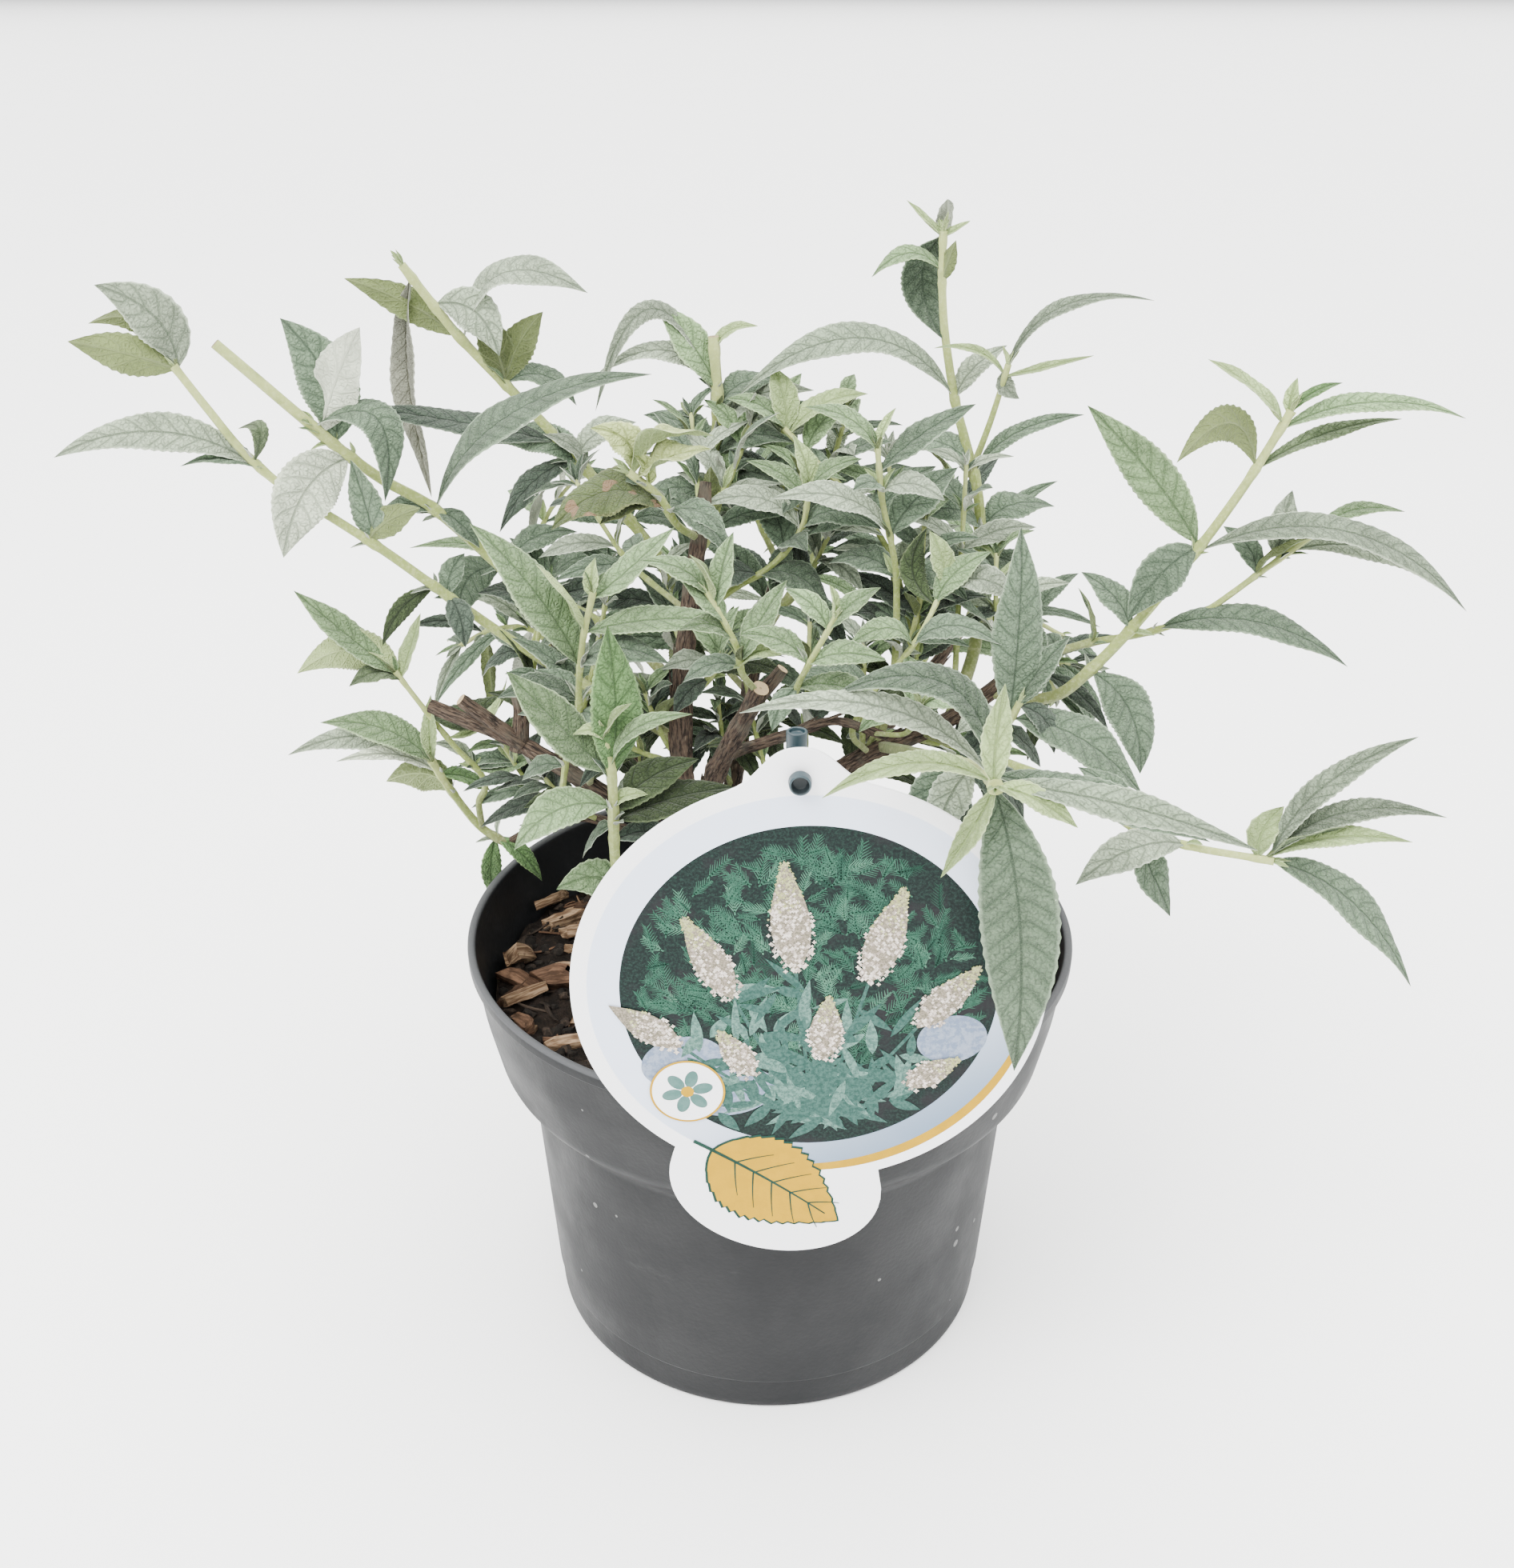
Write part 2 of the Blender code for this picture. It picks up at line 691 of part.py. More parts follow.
# Each shoot: its limb, then its stems. A stem is its points from the limb out, its
# radii, and its leaves: how far along it the leaf sits, the leaf's reach to the
# right, back and up, the height of its arch, its width and, where it is turned
# over or on edge, its roll in degrees.
SHOOTS = {
    "shoot_far_left": ("limb_centre", [
        ([(-26, 4, 196), (-48, 14, 206), (-80, 25, 222), (-117, 20, 254), (-146, 15, 278),
          (-165, 10, 309)], (1.9, 1.2), [
            (1.00, -25, -10, 10, 1, 11, -125), (1.00, -17, -5, 24, 6, 14, 60),
            (1.00, -24, 4, 12, 8, 7, -140), (0.80, -58, -4, 5, 10, 12, 20), (0.82, -4, 4, 8, 12, 5, 0),
            (0.80, -19, -6, 3, 3, 5, 0), (0.59, -5, 4, 22, 2, 11, 40), (0.60, 15, -2, 10, 2, 10, -120),
            (0.44, 5, -8, -12, 3, 13, 0), (0.47, -15, -6, -15, 3, 6, 60), (0.44, 4, 8, 10, 3, 9, 0),
        ]),
    ]),
    "shoot_bare_left": ("limb_centre", [
        ([(-26, 6, 208), (-41, 27, 219), (-80, 35, 240), (-101, 35, 260), (-122, 30, 276),
          (-156, 20, 313)], (2.0, 1.6), [
            (0.72, -17, -24, -23, 6, 24, 30), (0.80, 21, -9, -20, 18, 13, 0),
            (0.76, -13, 5, 36, 6, 17, 30), (0.78, 17, -10, 33, 2, 17, -110),
            (0.56, 67, 0, 42, 12, 18, 0), (0.56, 12, -3, -10, 2, 9, 0), (0.40, 20, 10, 8, 5, 10, 0),
            (0.40, -17, 6, -21, 7, 14, 75), (0.55, -18, 3, -1, 3, 9, 0),
        ]),
    ]),
    "shoot_back_left": ("limb_centre", [
        ([(-25, 10, 226), (-31, 44, 236), (-55, 60, 262), (-80, 65, 289), (-94, 65, 304),
          (-110, 60, 328)], (2.0, 1.4), [
            (0.97, 1, -5, -67, -12, 12, 30), (0.83, -34, 0, 18, 2, 10, -130),
            (0.82, 40, -6, 16, 14, 17, 0), (0.70, -7, 3, 21, 2, 12, -150),
            (0.70, 13, 2, 22, 2, 12, -120), (0.90, 20, -6, -14, 6, 13, 40),
            (0.50, -25, -10, -21, 4, 11, 0), (0.55, -61, -6, 13, 1, 13, 0),
            (0.47, -12, -2, 12, 3, 12, 0), (0.50, 17, 8, 9, 4, 15, 0), (0.70, 22, 6, -8, 6, 12, 0),
            (0.34, -14, 8, 14, 4, 11, 0), (0.34, 17, 4, -6, 4, 12, 0), (0.48, -30, 8, 6, 7, 13, 10),
        ]),
    ]),
    "shoot_centre_top": ("limb_centre", [
        ([(-24, 13, 240), (-22, 32, 250), (-18, 46, 268), (-16, 50, 287), (-17, 50, 309)], (1.9, 1.7), [
            (0.80, -18, 0, 26, 2, 13, 20), (0.80, -9, 5, 15, 2, 9, 150), (0.76, -36, -4, 10, 11, 11, 0),
            (0.95, 12, 0, 7, 3, 6, 0), (0.78, -37, -8, -3, 27, 7, 20), (0.72, 18, 4, 8, 5, 12, 0),
            (0.55, -22, 6, 12, 5, 13, 0), (0.55, 22, -6, 6, 5, 13, 0), (0.55, 6, -12, -6, 4, 11, 0),
            (0.40, 26, 2, 3, 6, 13, 0), (0.40, -20, -2, -4, 5, 12, 0), (0.62, 30, -4, 16, 6, 12, 0),
        ]),
    ]),
    "shoot_curled": ("limb_centre", [
        ([(-22, 16, 258), (-27, 6, 265), (-32, 4, 274), (-40, 3, 281)], (2.0, 1.7), [
            (1.00, -10, 0, 12, 5, 12, 40), (0.95, 23, 2, 11, 6, 11, -40), (0.90, 19, -4, 9, 2, 10, 0),
            (0.48, -33, -8, -3, 8, 18, 0), (0.80, -3, -2, 9, 2, 7, 60), (0.45, 15, -5, -5, 4, 9, 0),
            (0.50, 18, -6, -12, 4, 8, 0), (0.60, -16, -4, -5, 3, 12, 0),
        ]),
    ]),
    "shoot_front_left": ("main_stem", [
        ([(-6, 0, 128), (-24, -22, 138), (-40, -37, 156), (-44, -41, 178), (-44, -41, 207),
          (-46, -41, 221)], (1.8, 1.2), [
            (0.89, -27, 0, 31, 0, 15, 10), (0.88, 0, 8, 42, 2, 15, 0), (0.90, 23, -3, 19, 6, 7, 0),
            (0.97, 7, -2, 12, 2, 5, 0), (0.97, -8, -1, 3, 3, 5, 0), (0.80, -28, -8, -9, 7, 14, 0),
            (0.80, 9, 0, 4, 2, 5, 0), (0.55, -16, -5, 6, 6, 13, 40), (0.56, 11, 8, 3, 3, 10, 0),
            (0.76, -9, 4, -12, 2, 9, 0), (0.60, 16, 6, -6, 3, 13, 0), (0.79, 24, 10, 13, 3, 13, 0),
            (0.77, 34, 6, 8, 2, 13, 0), (0.72, 18, 8, -4, 3, 9, 0),
        ]),
    ]),
    "shoot_left_front_high": ("limb_left", [
        ([(-56, 7, 181), (-54, -6, 194), (-55, -17, 216), (-53, -20, 237), (-49, -20, 254)], (1.4, 1.0), [
            (0.70, -28, 2, 42, 4, 16, 10), (0.84, -12, -3, 21, 2, 9, 150), (0.97, 23, 3, 20, -1, 12, 0),
            (1.00, 1, 1, 10, 1, 5, 0), (0.84, 42, -3, 5, 2, 11, 0), (0.70, 26, -6, 4, 6, 12, 0),
            (0.55, -20, -6, 4, 4, 11, 0), (0.50, 14, -10, -4, 3, 11, 0), (0.50, -12, 6, 10, 3, 11, 0),
        ]),
    ]),
    "shoot_left_inner": ("limb_left", [
        ([(-80, 15, 193), (-78, 28, 206), (-73, 35, 222), (-68, 38, 236)], (1.2, 0.8), [
            (1.00, -11, 2, 14, 2, 10, 0), (1.00, 13, -2, 10, 3, 10, 0), (0.78, -17, -4, 8, 4, 13, 0),
            (0.78, 20, 4, 6, 4, 13, 0), (0.50, -15, 4, -8, 4, 13, 0), (0.50, 15, -6, -7, 4, 13, 0),
            (0.90, 2, 10, 10, 2, 10, 0),
        ]),
    ]),
    "shoot_low_left": ("limb_low_left", [
        ([(-88, 36, 144), (-97, 36, 151), (-105, 31, 168), (-109, 28, 179)], (1.6, 1.2), [
            (1.00, -35, 0, 15, 5, 14, 0), (0.62, -19, -2, 5, 6, 14, -140),
            (0.66, -53, 2, 12, 12, 11, 10), (0.84, -32, -6, 8, 5, 6, 0), (0.98, 1, 1, 24, 1, 6, 0),
            (0.84, 13, 10, -10, 2, 9, 0), (0.03, 14, -4, -13, 3, 7, 0), (0.03, -1, -4, -21, 2, 7, 0),
        ]),
        ([(-96, 36, 150), (-96, 34, 161), (-93, 32, 170), (-102, 30, 184), (-110, 28, 198),
          (-117, 26, 211)], (1.4, 1.0), [
            (1.00, -29, 0, 28, 0, 12, 0), (0.94, -32, -3, 4, 9, 13, -135), (0.94, -14, -6, 1, 4, 9, 0),
            (0.96, 7, 2, 19, 0, 8, 0), (0.60, 21, 0, 21, -5, 6, 0), (0.38, 24, -4, 9, -2, 7, 0),
            (0.40, -13, 5, 5, 3, 5, 0), (0.75, 25, 8, 4, -4, 14, 0), (0.38, 22, 5, 2, 3, 9, 0),
        ]),
    ]),
    "shoot_short_left": ("limb_low_left", [
        ([(-63, 25, 161), (-66, 10, 168), (-63, -5, 184), (-60, -6, 203), (-59, -8, 213)], (1.2, 1.0), [
            (1.00, -8, -2, 6, 2, 8, 0), (0.96, 6, 0, 7, 2, 4, 0), (0.90, -14, 2, 3, 3, 6, 0),
            (0.70, -13, 4, -6, 3, 10, 0),
        ]),
    ]),
    "shoot_front_centre": ("limb_front", [
        ([(-4, -36, 231), (-8, -44, 240), (-9, -46, 247), (-12, -46, 254), (-17, -45, 263)], (1.2, 0.8), [
            (1.00, -16, 0, 9, 3, 9, 0), (0.85, 4, 2, 18, 1, 8, 0), (0.35, 11, 2, 20, 1, 10, 0),
            (0.55, -13, -3, 4, 3, 8, 0), (0.70, -11, 3, 11, 2, 8, 0), (0.30, 13, -4, 5, 3, 7, 0),
            (0.30, -14, -2, -3, 3, 9, 0), (0.90, -5, -3, 13, 2, 6, 0),
        ]),
    ]),
    "shoot_front_small": ("limb_front", [
        ([(-5, -33, 226), (4, -46, 232), (8, -54, 244), (16, -55, 260)], (1.1, 0.8), [
            (1.00, -1, 0, 9, 1, 6, 0), (0.65, 18, -4, 3, 3, 9, 0), (0.65, -16, 0, 8, 3, 9, 0),
            (0.90, 12, 2, 10, 2, 7, 0), (0.90, -10, 4, 9, 2, 8, 0), (0.45, 24, -6, -3, 4, 9, 0),
            (0.45, -6, -7, -8, 2, 8, 0),
        ]),
    ]),
    "shoot_centre_low": ("limb_centre", [
        ([(-26, 6, 211), (-20, -2, 218), (-14, -6, 228)], (1.1, 0.9), [
            (1.00, 5, 0, 16, 2, 9, 0), (0.95, 16, -4, 4, 3, 10, 0), (0.80, -14, -7, 3, 3, 11, 0),
            (0.60, 12, 4, 8, 3, 10, 0), (0.95, -10, 4, 13, 2, 10, 0), (0.55, -9, -7, -7, 3, 10, 0),
        ]),
    ]),
    "shoot_centre_mid": ("limb_centre", [
        ([(-25, 9, 228), (-14, 20, 238), (0, 24, 246), (9, 22, 258), (11, 20, 270)], (1.2, 0.9), [
            (1.00, -4, 2, 16, 2, 8, 0), (1.00, 14, -2, 11, 3, 9, 0), (0.78, -30, -4, 9, 6, 12, 0),
            (0.78, 24, -6, 2, 6, 12, 0), (0.60, 6, -14, 6, 4, 12, 0), (0.60, -8, 12, 14, 4, 12, 0),
            (0.42, -22, -8, -6, 5, 12, 0), (0.42, 20, -6, -8, 5, 13, 0), (0.92, -16, 2, 12, 3, 8, 0),
        ]),
    ]),
    "shoot_tall_right": ("limb_right", [
        ([(54, 3, 205), (62, 18, 220), (65, 34, 234), (64, 42, 262), (56, 49, 290), (51, 50, 317),
          (50, 50, 339)], (2.0, 1.0), [
            (0.99, 1, -2, -29, -11, 13, 0), (0.92, -19, 0, -1, 6, 8, 0), (0.90, 3, -2, 11, 0, 7, -95),
            (1.00, -10, 0, 9, 0, 4, 0), (1.00, 7, 0, 4, 0, 4, 0), (0.98, 0, -4, 11, 4, 6, 0),
            (0.66, -67, -6, 3, 18, 13, 10), (0.50, 32, -2, 19, 5, 8, 0), (0.66, 14, 4, 14, 3, 9, 0),
            (0.50, -26, 4, 8, 6, 13, 0), (0.38, -22, -8, 8, 5, 13, 0), (0.38, 24, 8, 6, 5, 13, 0),
            (0.32, 14, -14, -2, 4, 12, 0), (0.32, -18, 8, -6, 4, 12, 0),
        ]),
        ([(61, 44, 268), (66, 41, 286), (70, 40, 303)], (1.2, 0.9), [
            (0.95, 41, -3, 21, 10, 7, 0), (0.90, 22, -6, 7, 0, 4, 0), (1.00, 3, -5, -7, -3, 7, 20),
            (0.90, -19, 4, 7, 4, 4, 0),
        ]),
    ]),
    "shoot_right_centre": ("limb_right", [
        ([(33, 3, 195), (37, 8, 218), (37, 10, 245), (35, 10, 258), (32, 10, 270),
          (30, 10, 286)], (1.3, 0.9), [
            (0.70, -35, -5, 13, 7, 12, 0), (0.92, 27, 4, 19, 2, 10, 0), (1.00, -21, 2, 13, 4, 9, 0),
            (1.00, 4, 0, 12, 1, 5, 0), (0.70, 20, 10, 18, 3, 13, 0), (0.55, -18, 8, 2, 5, 12, 0),
            (0.55, 18, -10, -2, 5, 12, 0), (0.85, -8, -10, 4, 3, 9, 0), (0.85, 16, -6, 0, 4, 10, 0),
        ]),
    ]),
    "shoot_right_cluster": ("limb_right", [
        ([(30, 3, 194), (24, -8, 206), (30, -14, 222), (41, -12, 236), (50, -2, 250)], (1.2, 0.8), [
            (0.90, -3, 3, 19, -7, 8, 0), (0.70, -17, -5, 2, 6, 9, 0), (0.70, 22, -6, 3, 6, 10, 0),
            (0.66, 3, -7, -14, 2, 11, 0), (0.98, 24, -4, -6, 6, 11, 0), (0.98, -4, 4, 14, 2, 9, 0),
            (0.45, -26, -4, 2, 5, 12, 0), (0.45, 18, -9, -8, 4, 12, 0), (0.90, 14, 4, 13, 3, 10, 0),
        ]),
    ]),
    "shoot_back_centre": ("limb_right", [
        ([(42, 3, 199), (44, 20, 214), (38, 31, 244), (26, 36, 262), (13, 39, 275),
          (4, 40, 284)], (1.3, 0.9), [
            (1.00, -4, 5, 17, 2, 9, 0), (0.97, 21, 2, 11, 4, 9, 0), (1.00, -16, 0, 9, 3, 9, 0),
            (0.80, 15, -6, 12, 4, 11, 0), (0.80, -20, 6, 2, 5, 12, 0), (0.62, 20, 10, 16, 4, 13, 0),
            (0.62, -24, -6, -3, 5, 13, 0), (0.90, 10, 6, 11, 3, 9, 0), (0.45, -20, 6, 6, 5, 13, 0),
        ]),
    ]),
    "shoot_right_front": ("limb_right", [
        ([(58, 3, 206), (62, -10, 209), (68, -17, 213), (71, -18, 220)], (1.4, 1.0), [
            (0.75, 1, 7, 56, 2, 16, 0), (0.80, 37, -12, -18, 5, 17, 0), (1.00, 14, 4, 20, 2, 9, 0),
            (0.70, -14, -10, 2, 4, 13, 0), (0.60, -10, -8, -10, 3, 13, 0), (0.95, 10, -4, -12, 4, 9, 0),
            (0.90, 12, 12, 14, 3, 13, 0), (0.60, 13, 2, -13, 2, 12, 0),
        ]),
    ]),
    "shoot_right_long": ("limb_right", [
        ([(66, 3, 214), (82, -4, 215), (99, -3, 230), (119, 0, 256), (132, 0, 278),
          (142, 0, 299)], (1.9, 1.2), [
            (0.62, -35, 3, 40, 2, 16, 60), (0.22, 15, -14, -27, 6, 15, 0),
            (0.60, 79, -6, -15, 16, 12, 0), (0.62, -20, -8, -19, 4, 13, 30),
            (0.84, -24, -6, 4, 12, 14, -125), (0.96, -23, 0, 18, 2, 8, 0), (0.95, 50, -3, 5, 6, 9, 0),
            (1.00, 12, 0, 8, 2, 4, 0), (1.00, 1, 1, 9, 1, 4, 0), (0.84, 42, 8, 13, 4, 6, 0),
            (0.36, -13, 6, 14, 3, 11, 0),
        ]),
    ]),
    "shoot_right_side": ("limb_right", [
        ([(79, 4, 224), (92, 6, 228), (112, 4, 233), (127, 3, 240), (138, 3, 249),
          (156, 3, 264)], (1.5, 1.0), [
            (0.36, 55, -12, -6, 9, 13, 0), (0.75, 12, -3, 11, 3, 10, 150), (0.88, 51, -3, -14, 7, 11, 0),
            (0.84, 3, 6, 17, 2, 13, 0), (1.00, 21, -3, 7, 4, 6, 0), (0.14, -4, 4, 14, 3, 9, 120),
            (0.75, -8, 8, 11, 3, 8, 0),
        ]),
    ]),
    "shoot_low_right": ("limb_right", [
        ([(46, 3, 201), (62, -22, 205), (82, -44, 206), (96, -51, 199), (112, -55, 194),
          (134, -64, 194)], (1.6, 1.0), [
            (0.79, -31, -6, -9, 6, 12, 0), (0.65, 13, -8, -25, 1, 12, 0), (0.98, 42, -10, -34, 6, 14, 0),
            (1.00, 35, 4, 35, 7, 8, 0), (0.98, 45, -3, 15, 8, 8, 0), (0.97, 36, -8, 10, 4, 7, 0),
            (0.98, 17, -4, 11, 2, 9, 120), (0.96, 6, 5, 12, 3, 8, 0), (0.65, -12, 8, 12, 3, 10, 0),
        ]),
    ]),
    "shoot_front_star": ("limb_right", [
        ([(34, 3, 196), (40, -26, 208), (46, -60, 222), (50, -94, 236), (50, -113, 241)], (1.8, 1.6), [
            (0.98, -40, -6, 0, 6, 7, 0), (0.90, -59, 6, 14, 10, 9, 0), (0.92, -38, 10, 17, 16, 11, 0),
            (1.00, 1, 2, 22, 1, 7, 0), (0.99, -11, -6, -18, -2, 6, 0), (0.99, 17, -5, -7, 2, 7, 0),
            (0.97, 61, -6, -14, 4, 10, 0), (0.90, 57, 8, -22, 2, 12, 0), (0.94, 9, -12, -75, 4, 19, 20),
            (0.60, -10, -8, -16, 4, 18, 0), (0.60, 16, -6, -13, 4, 12, 0), (0.75, -9, -8, -15, 4, 11, 0),
        ]),
    ]),
    "shoot_front_thin": ("limb_thin", [
        ([(30, -20, 211), (38, -28, 215), (41, -34, 226)], (0.9, 0.8), [
            (1.00, -6, -3, 11, 2, 9, 0), (0.90, 14, -6, 3, 4, 10, 0), (0.80, -15, -5, -2, 4, 11, 0),
            (0.60, 10, 4, 9, 2, 9, 0),
        ]),
    ]),
}

# Shoots grown by rule alone, behind and between: limb, foot, tip, sideways bow,
# pairs of leaves, leaf length, spread, phase
GROWN = {
    "shoot_back_a": ("limb_back", (4, 61, 232), (-8, 90, 272), (-6, 8, 4), 5, 42, 60, 20),
    "shoot_back_b": ("limb_back", (0, 52, 216), (32, 102, 248), (2, 6, 2), 5, 44, 62, 60),
    "shoot_back_c": ("limb_back", (-7, 42, 197), (-34, 104, 222), (-4, 2, -2), 5, 46, 60, 0),
    "shoot_back_d": ("limb_back", (-5, 46, 203), (4, 126, 204), (2, 2, 12), 5, 46, 60, 40),
    "shoot_back_left_a": ("limb_back_left", (-75, 65, 212), (-66, 98, 252), (-8, 2, 2), 5, 42, 60, 10),
    "shoot_back_left_b": ("limb_back_left", (-66, 57, 200), (-108, 84, 196), (0, 6, 8), 4, 40, 60, 70),
    "shoot_back_left_c": ("limb_back_left", (-56, 48, 186), (-62, 112, 200), (-6, 2, 8), 5, 42, 60, 30),
    "shoot_back_right_a": ("limb_back_right", (65, 61, 212), (62, 98, 250), (8, 2, 2), 5, 42, 60, 50),
    "shoot_back_right_b": ("limb_back_right", (56, 57, 203), (104, 88, 198), (0, 8, 8), 4, 42, 60, 80),
    "shoot_back_right_c": ("limb_back_right", (42, 49, 187), (62, 114, 198), (6, 2, 8), 5, 44, 60, 15),
}

rng = random.Random(SEED)
shoots = []
drawn = []
for name, (parent, stems) in SHOOTS.items():
    shoot = Shoot(name, parent)
    shoots.append(shoot)
    for k, (points, radii, leaves) in enumerate(stems):
        drawn.append((shoot, shoot.stem(points, radii, carried=k > 0), leaves))
grown = []
for name, (parent, foot, tip, bow, count, length, spread, phase) in GROWN.items():
    shoot = Shoot(name, parent)
    shoots.append(shoot)
    foot, tip, bow = Vector(foot), Vector(tip), Vector(bow)
    line = [foot, foot.lerp(tip, 0.33) + bow, foot.lerp(tip, 0.7) + bow * 0.8, tip]
    path = shoot.stem(line, (1.5, 0.8))
    grown.append((shoot, path, count, length, spread, phase))
for shoot, path, leaves in drawn:
    for t, dx, dy, dz, arch, width, roll in leaves:
        if not shoot.leaf(path, t, (dx, dy, dz), arch, width, roll, rng):
            print("LEAF left out:", shoot.name, t, dx, dy, dz)
for shoot, path, count, length, spread, phase in grown:
    shoot.pairs(path, count, length, (0.3, 0.97), spread, phase, 0.25, rng)
    print(shoot.name, len(shoot.leaves), "leaves,", shoot.left_out, "left out")
for shoot in shoots:
    shoot.join()

bpy.data.collections.remove(workshop)
for thing in shrub.objects:
    thing.data.shade_smooth()
    thing.data.set_sharp_from_angle(angle=math.radians(40))
print(len(shrub.objects), "solids", sum(len(s.leaves) for s in shoots), "leaves")
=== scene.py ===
"""Potted butterfly bush: the shrub, its nursery pot, root ball and label on a peg.

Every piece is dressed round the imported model, in its frame: metres, +Z up, the
origin under the pot's centre. Tables below are in millimetres and become metres
as a mesh is made. A shape is a grid of points worked out as whole arrays: a
section carried along a path, a turned profile or a leaf blade.
"""

import json
import math

import bpy
import numpy as np
from mathutils import Matrix, Vector
from mathutils.bvhtree import BVHTree

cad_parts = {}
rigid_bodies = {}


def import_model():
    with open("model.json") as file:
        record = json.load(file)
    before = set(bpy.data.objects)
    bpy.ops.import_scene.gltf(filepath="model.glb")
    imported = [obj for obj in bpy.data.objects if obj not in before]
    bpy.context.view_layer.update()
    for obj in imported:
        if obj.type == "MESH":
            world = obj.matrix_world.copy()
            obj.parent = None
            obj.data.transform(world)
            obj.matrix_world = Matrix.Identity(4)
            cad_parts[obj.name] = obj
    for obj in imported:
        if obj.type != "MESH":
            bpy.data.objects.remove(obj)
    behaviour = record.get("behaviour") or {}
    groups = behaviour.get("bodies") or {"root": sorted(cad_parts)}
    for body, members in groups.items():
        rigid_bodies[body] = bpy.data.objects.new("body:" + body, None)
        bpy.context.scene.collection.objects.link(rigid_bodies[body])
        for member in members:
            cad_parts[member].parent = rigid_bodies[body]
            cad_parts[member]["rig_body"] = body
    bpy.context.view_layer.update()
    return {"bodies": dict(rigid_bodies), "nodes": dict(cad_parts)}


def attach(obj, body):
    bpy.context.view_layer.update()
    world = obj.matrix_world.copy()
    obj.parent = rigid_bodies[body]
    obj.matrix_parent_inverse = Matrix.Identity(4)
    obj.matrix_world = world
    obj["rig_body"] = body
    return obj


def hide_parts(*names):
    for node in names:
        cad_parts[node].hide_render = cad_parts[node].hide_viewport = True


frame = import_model()
BODY = next(iter(frame["bodies"]))
MM = 0.001
SEED = 11
MOST_TRIANGLES = 190000  # past this a leaf pile is closed and the next one opened

# ---------------------------------------------------------------- camera and studio

scene = bpy.context.scene
for name in ("Cube", "Light", "Camera"):
    if name in bpy.data.objects and "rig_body" not in bpy.data.objects[name]:
        bpy.data.objects.remove(bpy.data.objects[name], do_unlink=True)

SENSOR, FOCAL_PIXELS, FRAME_PIXELS = 36.0, 2000, 1960  # mm, and the frame's longer side
CAMERA_AT, CAMERA_DOWN = (-0.004, -0.436, 0.405), 26.8  # metres, degrees under level
lens = bpy.data.cameras.new("View")
lens.sensor_width = SENSOR
lens.lens = SENSOR * FOCAL_PIXELS / FRAME_PIXELS
lens.clip_start = 0.01
camera = bpy.data.objects.new("View", lens)
camera.location = CAMERA_AT
camera.rotation_euler = (math.radians(90 - CAMERA_DOWN), 0, 0)
scene.collection.objects.link(camera)
scene.camera = camera


def area_light(name, at, target, size, power, colour=(1, 1, 1)):
    """A soft square light at a point, facing another."""
    lamp = bpy.data.lights.new(name, "AREA")
    lamp.shape, lamp.size, lamp.energy, lamp.color = "SQUARE", size, power, colour
    made = bpy.data.objects.new(name, lamp)
    made.location = at
    made.rotation_euler = (Vector(target) - Vector(at)).to_track_quat("-Z", "Y").to_euler()
    scene.collection.objects.link(made)


area_light("Sky panel", (0, 0, 14), (0, 0, 0), 50, 36000, (1.0, 1.0, 0.985))
area_light("Key panel", (-0.9, -1.1, 1.9), (0, 0, 0.15), 1.0, 70, (1.0, 0.995, 0.98))
area_light("Side panel", (1.5, -0.7, 0.8), (0, 0, 0.15), 1.1, 10, (0.96, 0.98, 1.0))
WORLD_COLOUR, WORLD_STRENGTH = (0.97, 0.985, 1.0, 1), 0.88
world = bpy.data.worlds.new("Studio")
world.use_nodes = True
backdrop = world.node_tree.nodes["Background"].inputs
backdrop["Color"].default_value = WORLD_COLOUR
backdrop["Strength"].default_value = WORLD_STRENGTH
scene.world = world

# ---------------------------------------------------------------- arrays and meshes


def grid_faces(rows, cols):
    """Quads of a rows x cols grid whose rows close on themselves, and the (column, row)
    place of every corner. A face looks along its row direction x column direction."""
    i, j = np.meshgrid(np.arange(rows - 1), np.arange(cols), indexing="ij")
    i, j = i.ravel(), j.ravel()
    ring = np.stack([j, j, j + 1, j + 1], 1)
    step = np.stack([i, i + 1, i + 1, i], 1)
    return step * cols + ring % cols, np.stack([ring, step], 2)


